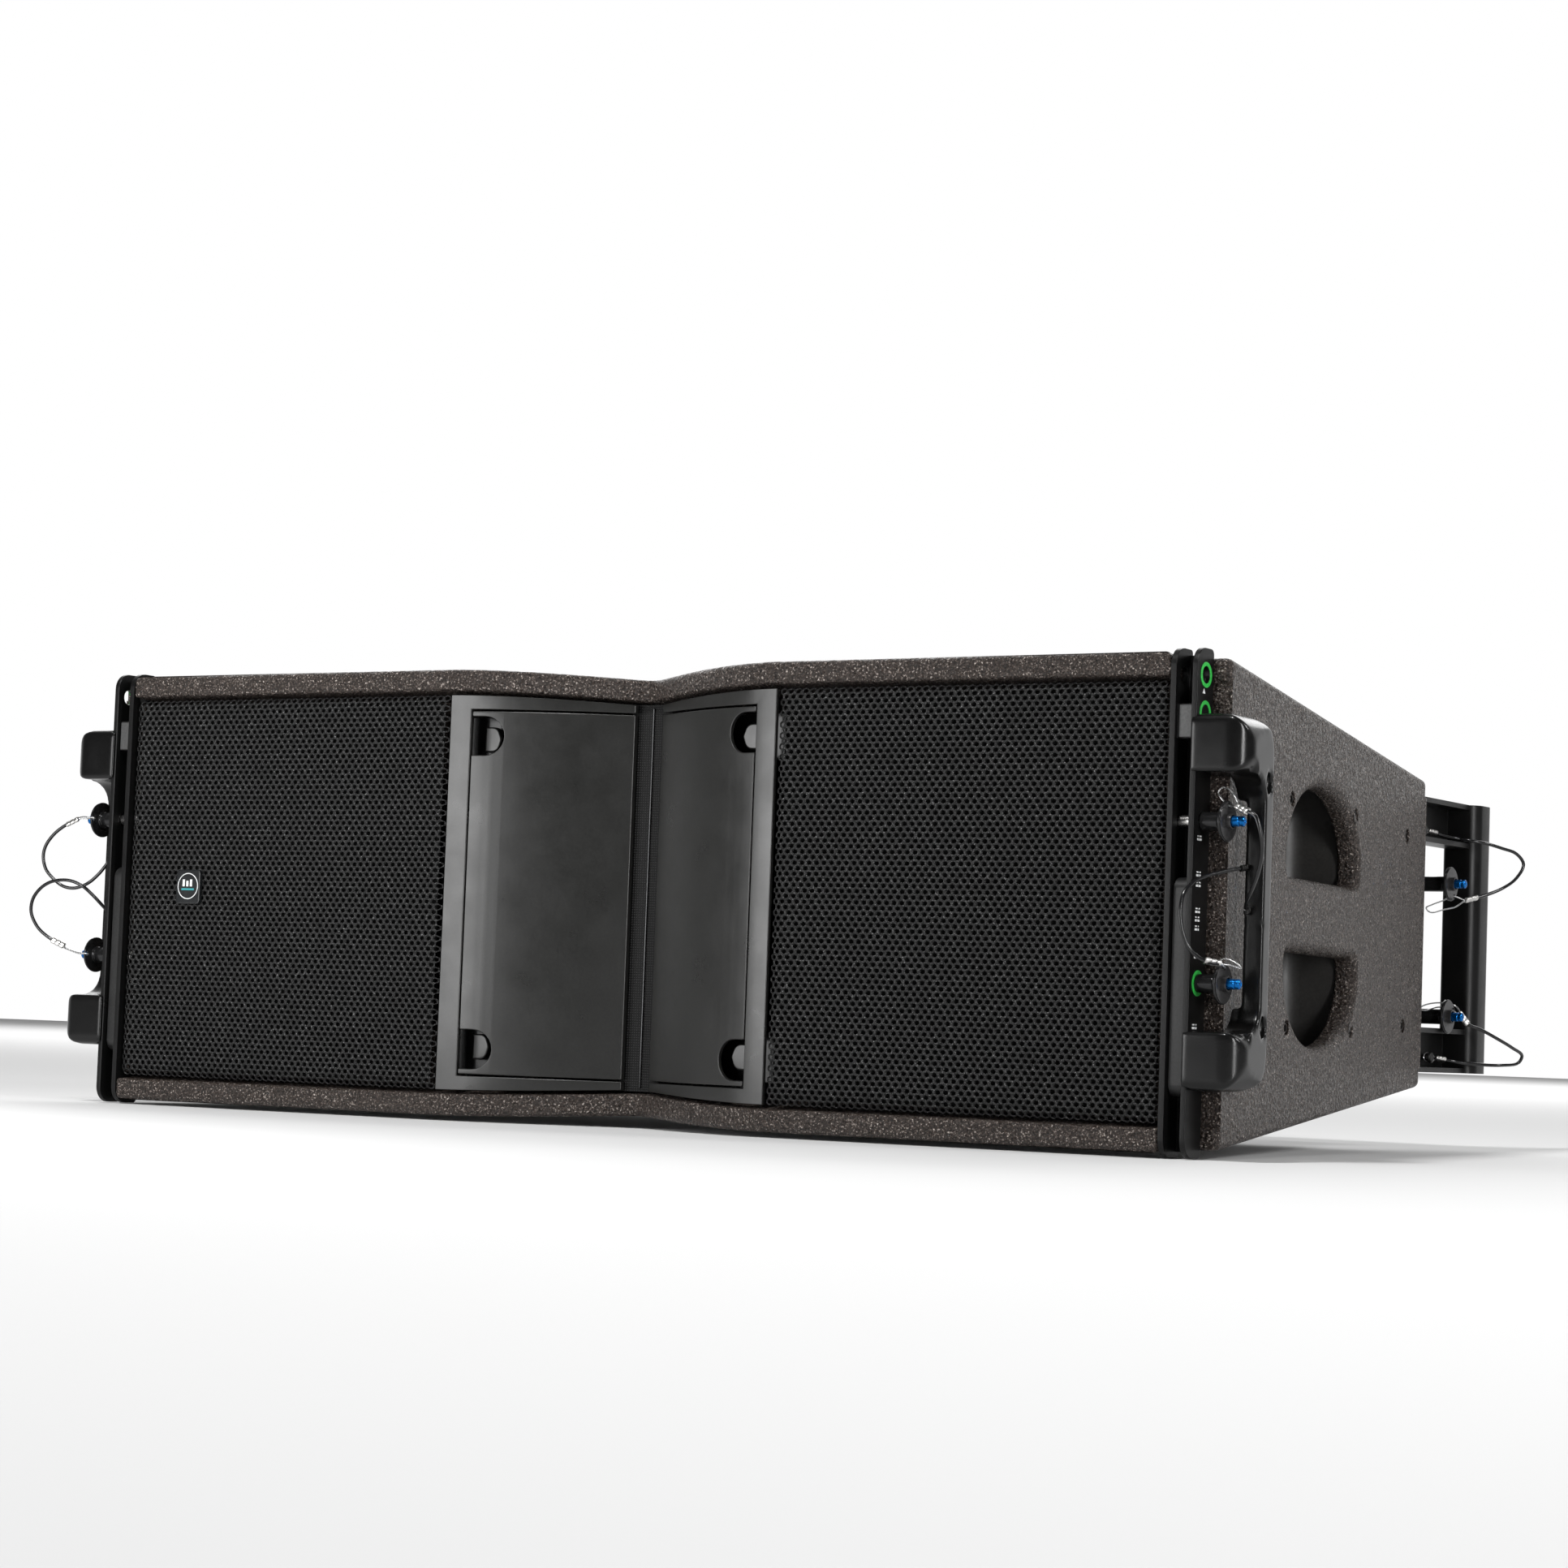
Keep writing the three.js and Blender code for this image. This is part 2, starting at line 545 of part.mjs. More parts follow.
// ---- Lanyards ----------------------------------------------------------------------------
// A lanyard is a coated steel cable from the rim of a pin's flange to its anchor. The rear
// ones on the left mirror those on the right.
const lanyardRoutes = {
  front_upper_right: [
    [363.6, 9.4, 48.2], [365.6, 7.6, 48.3], [369.2, 5, 46.8], [374.5, 3, 44.3], [379.7, 2, 41.8],
    [382, 2, 36.7], [383, 3, 31.3], [382.7, 5, 25.5], [380.7, 8, 19.8], [377.8, 11, 13.7],
    [373.6, 15, 7.5], [369.4, 19, 2.1], [366.6, 23, -2], [366.2, 26, -4.4],
  ],
  front_lower_right: [
    [363.6, 9.4, -31.2], [365, 5, -30.6], [364, 0.2, -30], [360.6, -3.6, -29.4], [356.6, -5.6, -28],
    [353.8, -7, -25.7], [350.9, -8.5, -21.9], [349.1, -9.5, -16.8], [347.8, -10, -11.4],
    [347.2, -10, -4.7], [347.5, -7.5, 3.3], [349.9, -2, 9.1], [353.1, 4, 12.3], [356.3, 10, 14.2],
    [359.3, 15.5, 15.7], [362.6, 21.4, 17.2], [365.6, 26, 18],
  ],
  front_upper_left: [
    [-363.6, 1.6, 40], [-367.4, 1.4, 40.6], [-370.3, 1.5, 40.6], [-381.9, 0, 35.7], [-389, -1.6, 30.3],
    [-394, -2.6, 23.5], [-395.5, -2.6, 17.3], [-393.9, -1.8, 10.1], [-388.2, -0.6, 4],
    [-381.9, 1.2, -0.1], [-374.6, 3, -0.9], [-366.3, 4.8, 2.1], [-359.9, 7, 8], [-353, 11, 18.2],
    [-349, 13, 20],
  ],
  front_lower_left: [
    [-363.6, 1.6, -39.2], [-367.4, 1.8, -38.9], [-367.9, 2.5, -38.5], [-378.2, 1, -35.4],
    [-388.4, -2, -30.5], [-395.2, -4.8, -24.5], [-398.8, -7, -16], [-397.3, -7.8, -8.4],
    [-392.2, -7.6, -2.1], [-385.2, -7.2, 1.8], [-377.1, -6.4, 3.3], [-370, -5.2, 2.8],
    [-362.8, -3.2, -0.2], [-358.5, 0.8, -5.1], [-353.4, 9, -14], [-349, 12, -17.4],
  ],
  rear_upper_right: [
    [315.8, 431.8, 24], [317.8, 437.4, 21.6], [321, 440.8, 22.7], [327, 450, 25.7], [333, 460.6, 30.2],
    [337, 473.8, 37.2], [338.5, 481.5, 45.9], [336.5, 474.2, 51.8], [331.5, 463, 54.4],
    [325, 453.2, 56.7], [318, 447.6, 57.8], [310.6, 447.6, 59], [305.6, 438.6, 59.8], [303.2, 428, 61],
  ],
  rear_lower_right: [
    [315.8, 434.4, -43], [317.8, 439, -45.6], [321, 440.4, -50.5], [327, 448.6, -54],
    [333, 459.7, -58.9], [337, 473.6, -63.8], [338.5, 486.3, -68.4], [336.5, 486.5, -72.3],
    [331.5, 471.5, -74.3], [324.5, 463.2, -74.5], [316.5, 454.9, -73.9], [310.4, 449.6, -73.2],
    [305.6, 442, -72.2], [303.2, 435.4, -71.6],
  ],
};

for (const place of ['rear_upper', 'rear_lower']) {
  lanyardRoutes[`${place}_left`] = lanyardRoutes[`${place}_right`].map(([x, y, z]) => [-x, y, z]);
}

function lanyard(points) {
  const route = new THREE.CatmullRomCurve3(points.map((p) => new THREE.Vector3(...p)), false, 'centripetal');
  const section = shapeOf(circle(0, 0, CORD_RADIUS, 8));
  return new THREE.ExtrudeGeometry(section, { steps: LANYARD_STEPS, bevelEnabled: false, extrudePath: route });
}

function addPinSet(corner, pinPlaces, y, zs) {
  zs.forEach((z, i) => {
    const place = `${corner}_${i === 0 ? 'upper' : 'lower'}`;
    addPair(`${place}_pin`, 'steel', pin(pinPlaces, y, z));
    addPair(`${place}_button`, 'blue', button(pinPlaces, y, z));
    for (const side of ['right', 'left']) {
      add(`${place}_lanyard_${side}`, 'rubber', lanyard(lanyardRoutes[`${place}_${side}`]));
    }
  });
}

addPinSet('front', FRONT_PIN, FRONT_PIN_Y, FRONT_PIN_Z);
addPinSet('rear', REAR_PIN, REAR_PIN_Y, REAR_PIN_Z);

// ---- Rear rigging ------------------------------------------------------------------------
const rearFace = BOX_DEPTH + GAP;

function rearBracket() {
  const holes = REAR_PIN_Z.map((z) => circle(REAR_PIN_Y, z, 3.7, 16));
  const outline = roundedRectangle(rearFace, -78, BRACKET_REAR_Y, 78, [0, 14, 14, 0], 5);
  const inner = extrudeX(outline, BRACKET_IN_X, BRACKET_IN_X + PLATE, holes);
  const outer = extrudeX(outline, BRACKET_OUT_X - PLATE, BRACKET_OUT_X, holes);
  const web = block(BRACKET_IN_X + 1, BRACKET_OUT_X - 1, rearFace, rearFace + PLATE, -76, 76);
  return join(inner, outer, web);
}

addPair('rear_bracket', 'powder', rearBracket());

// The rear arm turns about the lower rear pin; its notch opens forwards.
function rearArm() {
  const r = 8;
  const [upper, lower] = REAR_PIN_Z;
  const outline = [...arc(REAR_PIN_Y, lower, r, 180, 360, 8), ...arc(REAR_PIN_Y, 40, r, 0, 180, 8)];
  const bar = extrudeX(outline, BRACKET_IN_X + PLATE + 1.5, BRACKET_OUT_X - PLATE - 1.5,
    [circle(REAR_PIN_Y, lower, 3.7, 16)]);
  return cut(bar, block(200, 300, REAR_PIN_Y - 20, REAR_PIN_Y + 4, upper - 4.6, upper + 4.6));
}

addPair('rear_arm', 'steel', rearArm());

// The rear handle: two channel-shaped ears, open outwards, that carry a vertical grip.
function rearHandle() {
  const [x0, x1] = REAR_HANDLE_X;
  const [y0, y1] = REAR_HANDLE_Y;
  const [low, high] = REAR_EAR_Z;
  const grip = extrudeZ(roundedRectangle(x0, y0, x1, y1, [3, 8, 8, 6]), -high, high);
  const ears = [1, -1].flatMap((side) => {
    const span = (a, b) => (side > 0 ? [a, b] : [-b, -a]);
    return [
      block(x0, x0 + PLATE, rearFace, y0 + 1, ...span(low, high)),
      block(x0, REAR_EAR_OUT_X, rearFace, y0 + 4, ...span(high - PLATE, high)),
      block(x0, REAR_EAR_OUT_X, rearFace, y0 + 4, ...span(low, low + PLATE)),
      block(x0 - 4, REAR_EAR_OUT_X, rearFace, rearFace + PLATE, ...span(low - 4, high)),
    ];
  });
  return join(grip, ...ears);
}

addPair('rear_handle', 'powder', rearHandle());

assembly.position.set(0, -ORIGIN_Y, RIG_HALF);
const loudspeaker = new THREE.Group();
loudspeaker.add(assembly);

export default loudspeaker;
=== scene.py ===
"""The looks of a line array loudspeaker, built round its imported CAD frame.

Shapes are made in millimetres in the design frame: X = 0 is the centre plane, Y = 0 the front
edge of the box and Z = 0 its mid-plane. place() turns a design point into the row frame.
"""
import math

import bmesh
import bpy
from mathutils import Matrix, Vector
from mathutils.geometry import tessellate_polygon


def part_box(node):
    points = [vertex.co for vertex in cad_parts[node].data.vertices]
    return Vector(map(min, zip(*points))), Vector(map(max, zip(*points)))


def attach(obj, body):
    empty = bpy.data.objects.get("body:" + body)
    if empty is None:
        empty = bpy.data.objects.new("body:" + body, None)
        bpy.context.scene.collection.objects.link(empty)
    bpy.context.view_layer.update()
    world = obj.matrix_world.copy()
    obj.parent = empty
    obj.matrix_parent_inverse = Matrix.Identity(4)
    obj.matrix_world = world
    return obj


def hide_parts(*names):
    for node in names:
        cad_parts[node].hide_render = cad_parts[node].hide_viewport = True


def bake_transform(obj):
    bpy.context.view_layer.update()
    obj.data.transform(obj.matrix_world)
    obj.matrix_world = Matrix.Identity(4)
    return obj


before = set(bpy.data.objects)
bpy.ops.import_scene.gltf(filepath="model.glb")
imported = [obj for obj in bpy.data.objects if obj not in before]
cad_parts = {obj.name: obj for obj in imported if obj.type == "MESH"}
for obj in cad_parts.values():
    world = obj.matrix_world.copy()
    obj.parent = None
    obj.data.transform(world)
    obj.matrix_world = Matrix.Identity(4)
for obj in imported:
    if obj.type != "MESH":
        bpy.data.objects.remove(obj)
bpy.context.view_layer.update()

MM = 0.001
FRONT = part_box("top_panel")[0].y
MIDDLE = (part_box("top_panel")[1].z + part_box("bottom_panel")[0].z) / 2
SIDES = {"right": 1, "left": -1}
TAU = 2 * math.pi


def place(point):
    """A design point in the row frame."""
    return Vector((point[0] * MM, point[1] * MM + FRONT, point[2] * MM + MIDDLE))


def design(point):
    """A point of the row frame in the design frame."""
    return Vector((point[0] / MM, (point[1] - FRONT) / MM, (point[2] - MIDDLE) / MM))


def span(node):
    """Lowest and highest corners of a CAD node in the design frame."""
    low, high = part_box(node)
    return design(low), design(high)


# ---- Driving dimensions, read from the frame
panel_low, panel_high = span("top_panel")
FRONT_HALF = panel_high.z
BOX_DEPTH = panel_high.y
PLY = span("rear_panel")[1].y - span("rear_panel")[0].y
TAPER = (FRONT_HALF - PLY - panel_low.z) / BOX_DEPTH
SIDE_FRONT_X = panel_high.x
SIDE_REAR_X = max(v.co.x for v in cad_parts["top_panel"].data.vertices
                  if v.co.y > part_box("top_panel")[1].y - MM) / MM
CHANNEL_X = 333.2
STEP_Y = 18.8
VALLEY_DEPTH = 46
VALLEY_HALF = 105
VALLEY_POWER = 1.6


def valley(x):
    """Depth of the front edge behind its foremost line."""
    inward = max(0.0, VALLEY_HALF - math.hypot(x, 5)) / VALLEY_HALF
    return VALLEY_DEPTH * inward ** VALLEY_POWER


def add_object(name, data):
    """A new object in the scene."""
    thing = bpy.data.objects.new(name, data)
    bpy.context.scene.collection.objects.link(thing)
    return thing


# ---- Camera
CAMERA_AT = (1129, -1654, -72.8)
CAMERA_AZIMUTH = 31.55
CAMERA_TILT = 3.86
CAMERA_ROLL = 2.09
CAMERA_LENS = 85.86


def add_camera():
    data = bpy.data.cameras.new("camera")
    data.lens = CAMERA_LENS
    data.sensor_width = 36
    camera = add_object("camera", data)
    turn = (Matrix.Rotation(math.radians(CAMERA_AZIMUTH), 4, "Z")
            @ Matrix.Rotation(math.radians(90 + CAMERA_TILT), 4, "X")
            @ Matrix.Rotation(math.radians(CAMERA_ROLL), 4, "Z"))
    camera.matrix_world = Matrix.Translation(place(CAMERA_AT)) @ turn
    bpy.context.scene.camera = camera


add_camera()


# ---- Shapes: each is (points, faces) in the design frame
def join(*shapes):
    """Several closed shapes in one."""
    points, faces = [], []
    for more_points, more_faces in shapes:
        start = len(points)
        points += more_points
        faces += [[start + i for i in face] for face in more_faces]
    return points, faces


def moved(shape, change):
    """The shape with each of its points changed."""
    return [Vector(change(p)) for p in shape[0]], shape[1]


def for_side(shape, side):
    """A right-hand shape as it is, or its mirror image."""
    return shape if SIDES[side] > 0 else moved(shape, lambda p: (-p[0], p[1], p[2]))


def along(axis):
    """Turns a point whose third number runs along the axis into a design point."""
    return {"Z": lambda p: (p[0], p[1], p[2]),
            "X": lambda p: (p[2], p[0], p[1]),
            "Y": lambda p: (p[0], p[2], p[1])}[axis]


def arc(a, b, radius, start, end, steps):
    """Points on an arc, both ends included; angles in degrees."""
    return [(a + radius * math.cos(math.radians(start + (end - start) * i / steps)),
             b + radius * math.sin(math.radians(start + (end - start) * i / steps)))
            for i in range(steps + 1)]


def circle(a, b, radius, sides=32):
    return arc(a, b, radius, 0, 360, sides)[:-1]


def rounded_rectangle(a0, b0, a1, b1, radius, steps=6):
    a0, b0, a1, b1 = a0 + radius, b0 + radius, a1 - radius, b1 - radius
    corners = ((a0, b0, 180), (a1, b0, 270), (a1, b1, 0), (a0, b1, 90))
    return [p for a, b, start in corners for p in arc(a, b, radius, start, start + 90, steps)]


def bridge(below, above):
    """Quads between two rings of point numbers."""
    n = len(below)
    return [[below[k], below[(k + 1) % n], above[(k + 1) % n], above[k]] for k in range(n)]


def skin(count, sides, closed=False):
    """Faces over a row of rings; an open row gets a cap at each end."""
    rings = [list(range(i * sides, (i + 1) * sides)) for i in range(count)]
    after = rings[1:] + (rings[:1] if closed else [])
    faces = [face for below, above in zip(rings, after) for face in bridge(below, above)]
    return faces if closed else faces + [rings[0][::-1], rings[-1]]


def about(points, axis, centre):
    """Points made about the third axis, moved to an axis through a centre."""
    shift = {"X": (0, *centre), "Y": (centre[0], 0, centre[1]), "Z": (*centre, 0)}[axis]
    return [Vector(along(axis)(p)) + Vector(shift) for p in points]


def area(outline):
    return sum(p[0] * q[1] - q[0] * p[1] for p, q in zip(outline, outline[1:] + outline[:1])) / 2


def filleted(outline, radius, steps=4):
    """The outline with its corners rounded; radius is one number, or one for each corner."""
    n = len(outline)
    radii = radius if isinstance(radius, (list, tuple)) else [radius] * n
    result = []
    for i in range(n):
        corner = Vector(outline[i])
        before = (Vector(outline[i - 1]) - corner).normalized()
        after = (Vector(outline[(i + 1) % n]) - corner).normalized()
        if radii[i] == 0 or before.dot(after) < -0.999:
            result.append(tuple(corner))
            continue
        half = before.angle(after) / 2
        back = radii[i] / math.tan(half)
        centre = corner + (before + after).normalized() * radii[i] / math.sin(half)
        first = corner + before * back - centre
        turn = first.angle_signed(corner + after * back - centre)
        for step in range(steps + 1):
            angle = -turn * step / steps
            result.append((centre.x + first.x * math.cos(angle) - first.y * math.sin(angle),
                           centre.y + first.x * math.sin(angle) + first.y * math.cos(angle)))
    return result


def inset(outline, distance):
    """The outline moved to its left by a distance, which shrinks an anticlockwise one."""
    result = []
    n = len(outline)
    for i in range(n):
        here = Vector(outline[i])
        into = (here - Vector(outline[i - 1])).normalized()
        out = (Vector(outline[(i + 1) % n]) - here).normalized()
        a, b = Vector((-into.y, into.x)), Vector((-out.y, out.x))
        result.append(tuple(here + (a + b) * distance / max(1 + a.dot(b), 0.2)))
    return result


def edge_levels(low, high, low_radius, high_radius, steps):
    """(height, inset) pairs from the low face to the high one, with rounded edges."""
    ends = []
    for radius, face, way in ((low_radius, low, 1), (high_radius, high, -1)):
        angles = [math.pi / 2 * i / steps for i in range(steps + 1)] if radius else [math.pi / 2]
        ends.append([(face + way * radius * (1 - math.cos(t)), radius * (1 - math.sin(t)))
                     for t in angles])
    return ends[0] + ends[1][::-1]


def plate(outline, low, high, axis="Z", edge=0.5, holes=(), hole_edges=None, steps=3):
    """A plate with rounded edges and holes. An edge is one radius, or (at low, at high)."""
    def pair(radius):
        return radius if isinstance(radius, (list, tuple)) else (radius, radius)

    rims = [(outline if area(outline) > 0 else outline[::-1], pair(edge))]
    for hole, radius in zip(holes, hole_edges or [edge] * len(holes)):
        rims.append((hole if area(hole) < 0 else hole[::-1], pair(radius)))
    points, faces, low_rings, high_rings = [], [], [], []
    for rim, (low_radius, high_radius) in rims:
        rings = []
        for height, distance in edge_levels(low, high, low_radius, high_radius, steps):
            rings.append(list(range(len(points), len(points) + len(rim))))
            points += [(*p, height) for p in inset(rim, distance)]
        for below, above in zip(rings, rings[1:]):
            faces += bridge(below, above)
        low_rings.append(rings[0])
        high_rings.append(rings[-1])
    for rings in (low_rings, high_rings):
        flat = [i for ring in rings for i in ring]
        loops = [[Vector((points[i][0], points[i][1], 0)) for i in ring] for ring in rings]
        faces += [[flat[i] for i in triangle] for triangle in tessellate_polygon(loops)]
    return [Vector(along(axis)(p)) for p in points], faces


def box(x0, x1, y0, y1, z0, z1, edge):
    """A block with rounded edges."""
    return plate(rounded_rectangle(x0, y0, x1, y1, max(edge, 0.05), 3), z0, z1, "Z", edge)


def turned(profile, axis, centre, sides=32):
    """A turned solid; the profile holds (place along the axis, radius) pairs, end to end."""
    points, rings, faces = [], [], []
    for distance, radius in profile:
        count = sides if radius else 1
        rings.append(list(range(len(points), len(points) + count)))
        points += [(*p, distance) for p in circle(0, 0, radius, count)]
    for below, above in zip(rings, rings[1:]):
        if len(below) == 1:
            faces += [[below[0], above[(k + 1) % sides], above[k]] for k in range(sides)]
        elif len(above) == 1:
            faces += [[below[k], below[(k + 1) % sides], above[0]] for k in range(sides)]
        else:
            faces += bridge(below, above)
    return about(points, axis, centre), faces


def lathe_ring(profile, axis, centre, sides=40):
    """A ring: the closed profile of (place, radius) pairs is turned about the axis."""
    points = [(*p, distance) for distance, radius in profile for p in circle(0, 0, radius, sides)]
    return about(points, axis, centre), skin(len(profile), sides, closed=True)


def counted_from(start, profile):
    """A profile whose places are counted from a start."""
    return [(start + ahead, radius) for ahead, radius in profile]


def soft_profile(profile, radius=0.4):
    """The profile of a turned solid with its corners cut round."""
    result = [profile[0]]
    for before, here, after in zip(profile, profile[1:], profile[2:]):
        corner = Vector(here)
        a, b = Vector(before) - corner, Vector(after) - corner
        reach = min(radius, a.length * 0.45, b.length * 0.45)
        first, last = corner + a.normalized() * reach, corner + b.normalized() * reach
        middle = (first + last) / 4 + corner / 2
        result += [tuple(first), tuple(middle), tuple(last)]
    return result + [profile[-1]]


def ellipse(centre, across, other, sides):
    """Points round a centre, across and other being its two half-axes."""
    return [centre + across * math.cos(TAU * k / sides) + other * math.sin(TAU * k / sides)
            for k in range(sides)]


def rope(route, radius, sides):
    """A round tube along a list of points."""
    route = [Vector(p) for p in route]
    points = []
    normal = None
    for behind, here, ahead in zip(route[:1] + route, route, route[1:] + route[-1:]):
        tangent = (ahead - behind).normalized()
        if normal is None:
            normal = tangent.orthogonal()
        normal = (normal - tangent * normal.dot(tangent)).normalized()
        points += ellipse(here, normal * radius, tangent.cross(normal) * radius, sides)
    return points, skin(len(route), sides)


def smooth_route(points, steps=6):
    """A centripetal Catmull-Rom curve through the points."""
    p = [Vector(q) for q in points]
    p = [p[0] * 2 - p[1], *p, p[-1] * 2 - p[-2]]
    result = []
    for a, b, c, d in zip(p, p[1:], p[2:], p[3:]):
        t1 = (b - a).length ** 0.5
        t2 = t1 + (c - b).length ** 0.5
        t3 = t2 + (d - c).length ** 0.5
        for i in range(steps):
            t = t1 + (t2 - t1) * i / steps
            ab = a.lerp(b, t / t1)
            bc = b.lerp(c, (t - t1) / (t2 - t1))
            cd = c.lerp(d, (t - t2) / (t3 - t2))
            abc = ab.lerp(bc, t / t2)
            bcd = bc.lerp(cd, (t - t1) / (t3 - t1))
            result.append(abc.lerp(bcd, (t - t1) / (t2 - t1)))
    return result + [p[-2]]


# ---- Pieces
SMOOTH_ANGLE = 38
SHARP_ANGLE = 35


def shaped_mesh(name, shape):
    """A mesh of a shape of the design frame."""
    mesh = bpy.data.meshes.new(name)
    mesh.from_pydata([place(p) for p in shape[0]], [], shape[1])
    return mesh


def face_outwards(mesh):
    form = bmesh.new()
    form.from_mesh(mesh)
    bmesh.ops.recalc_face_normals(form, faces=form.faces)
    form.to_mesh(mesh)
    form.free()


def finish_mesh(mesh, material):
    """One material, outward faces, and smooth shading that keeps the sharp edges."""
    face_outwards(mesh)
    mesh.materials.clear()
    mesh.materials.append(material)
    mesh.polygons.foreach_set("use_smooth", [True] * len(mesh.polygons))
    mesh.set_sharp_from_angle(angle=math.radians(SMOOTH_ANGLE))


def level_normals(thing):
    """Keeps flat faces flat next to rounded edges."""
    weighted = thing.modifiers.new("level_normals", "WEIGHTED_NORMAL")
    weighted.keep_sharp = True


def piece(name, shape, material, body="cabinet", slot=None, stands_for=(), level=True):
    """Makes a shape of the design frame into a piece that rides on a body."""
    mesh = shaped_mesh(name, shape)
    finish_mesh(mesh, material)
    thing = add_object(name, mesh)
    if level:
        level_normals(thing)
    settle(thing, body, stands_for)
    return thing


def side_piece(name, side, shape, material, slot, stands_for=None, **others):
    """A piece of the right-hand side, or its mirror image; it can stand for one side's node."""
    nodes = [f"{stands_for}_{side}"] if stands_for else []
    return piece(f"{name}_{side}", for_side(shape, side), material, slot=slot, stands_for=nodes, **others)


def settle(thing, body, stands_for=()):
    if body:
        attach(thing, body)
    if stands_for:
        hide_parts(*stands_for)


def softened(node_name, material, body, width, segments=2):
    """A copy of a CAD node with its sharp edges rounded, which stands for the node."""
    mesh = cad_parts[node_name].data.copy()
    form = bmesh.new()
    form.from_mesh(mesh)
    bmesh.ops.remove_doubles(form, verts=form.verts, dist=1e-6)
    bmesh.ops.dissolve_limit(form, angle_limit=math.radians(0.5), verts=form.verts, edges=form.edges)
    sharp = [e for e in form.edges if e.is_manifold and e.calc_face_angle() > math.radians(SHARP_ANGLE)]
    bmesh.ops.bevel(form, geom=sharp, offset=width * MM, offset_type="OFFSET", segments=segments,
                    profile=0.5, affect="EDGES", clamp_overlap=True)
    form.to_mesh(mesh)
    form.free()
    finish_mesh(mesh, material)
    thing = add_object(node_name + "_piece", mesh)
    level_normals(thing)
    settle(thing, body, [node_name])


# ---- Materials
def node(material, kind, settings=None, **inputs):
    """Adds a shader node. Settings are its properties, and inputs its sockets' values."""
    made = material.node_tree.nodes.new("ShaderNode" + kind)
    for name, value in (settings or {}).items():
        setattr(made, name, value)
    for name, value in inputs.items():
        made.inputs[name.replace("_", " ").title()].default_value = value
    return made


def link(material, source, target):
    material.node_tree.links.new(source, target)


def rgb(colour):
    """Three numbers for a colour, which may be given as one number for a grey."""
    return (colour,) * 3 if isinstance(colour, (int, float)) else tuple(colour)


def new_material(name, colour, roughness, metallic=0.0, **sockets):
    """A material and its shader; sockets are further inputs of the shader."""
    material = bpy.data.materials.new(name)
    material.use_nodes = True
    shader = material.node_tree.nodes["Principled BSDF"]
    shader.inputs["Base Color"].default_value = (*rgb(colour), 1)
    shader.inputs["Roughness"].default_value = roughness
    shader.inputs["Metallic"].default_value = metallic
    for name, value in sockets.items():
        shader.inputs[name.replace("_", " ")].default_value = value
    return material, shader


def coordinates(material, scale=(1, 1, 1)):
    """Texture coordinates in metres, stretched by a scale for each axis."""
    source = node(material, "TexCoord")
    mapping = node(material, "Mapping")
    mapping.inputs["Scale"].default_value = scale
    link(material, source.outputs["Object"], mapping.inputs["Vector"])
    return mapping.outputs["Vector"]


def noise(material, where, scale, detail=3.0, roughness=0.55):
    """Cloudy noise; a larger scale makes it finer."""
    made = node(material, "TexNoise", Scale=scale, Detail=detail, Roughness=roughness)
    link(material, where, made.inputs["Vector"])
    return made.outputs["Fac"]


def cells(material, where, scale, smoothness):
    """Distance from the middle of each cell, with soft borders."""
    made = node(material, "TexVoronoi", {"feature": "SMOOTH_F1"}, Scale=scale, Smoothness=smoothness)
    link(material, where, made.inputs["Vector"])
    return made.outputs["Distance"]


def waves(material, direction, scale):
    """Parallel bands across a direction."""
    made = node(material, "TexWave", {"bands_direction": direction}, Scale=scale)
    link(material, coordinates(material), made.inputs["Vector"])
    return made.outputs["Fac"]


def ramp(material, factor, stops):
    """A colour ramp: stops are (place, colour or grey)."""
    made = node(material, "ValToRGB")
    elements = made.color_ramp.elements
    while len(elements) < len(stops):
        elements.new(0.5)
    for element, (position, value) in zip(elements, stops):
        element.position = position
        element.color = (*rgb(value), 1)
    link(material, factor, made.inputs["Fac"])
    return made.outputs["Color"]


def drive(material, shader, socket, factor, stops):
    """Lets a ramp over a factor set one of the shader's sockets."""
    link(material, ramp(material, factor, stops), shader.inputs[socket])


def bump(material, shader, heights):
    """Stacks bumps: heights are (socket, distance in mm, strength)."""
    normal = None
    for height, distance, strength in heights:
        made = node(material, "Bump", Strength=strength, Distance=distance * MM)
        link(material, height, made.inputs["Height"])
        if normal is not None:
            link(material, normal, made.inputs["Normal"])
        normal = made.outputs["Normal"]
    link(material, normal, shader.inputs["Normal"])


def textured_coating():
    """Sprayed polyurea: small rounded grains, brown-black and speckled, glossier on their crowns; its
    brightest flecks are painted glints.
    """
    material, shader = new_material("textured_coating", 0.03, 0.4, Specular_IOR_Level=0.3)
    where = coordinates(material)
    grains = cells(material, where, 560, 0.3)
    lumps = noise(material, where, 420, 4.0, 0.65)
    fine = noise(material, where, 1500, 2.0)
    # Dark to mid speckle is the coating's own tone; the near-white end of this ramp paints glints into the
    # colour.
    speckle_and_painted_glints = noise(material, where, 900, 3.0, 0.75)
    drive(material, shader, "Base Color", speckle_and_painted_glints, [
        (0.36, (0.006, 0.0044, 0.0036)), (0.52, (0.030, 0.0218, 0.0178)),
        (0.60, (0.070, 0.052, 0.043)), (0.67, (0.52, 0.47, 0.43))])
    drive(material, shader, "Roughness", lumps, [(0.42, 0.5), (0.6, 0.16)])
    bump(material, shader, [(lumps, 2.6, 1.0), (grains, 0.9, 0.9), (fine, 0.2, 0.5)])
    return material


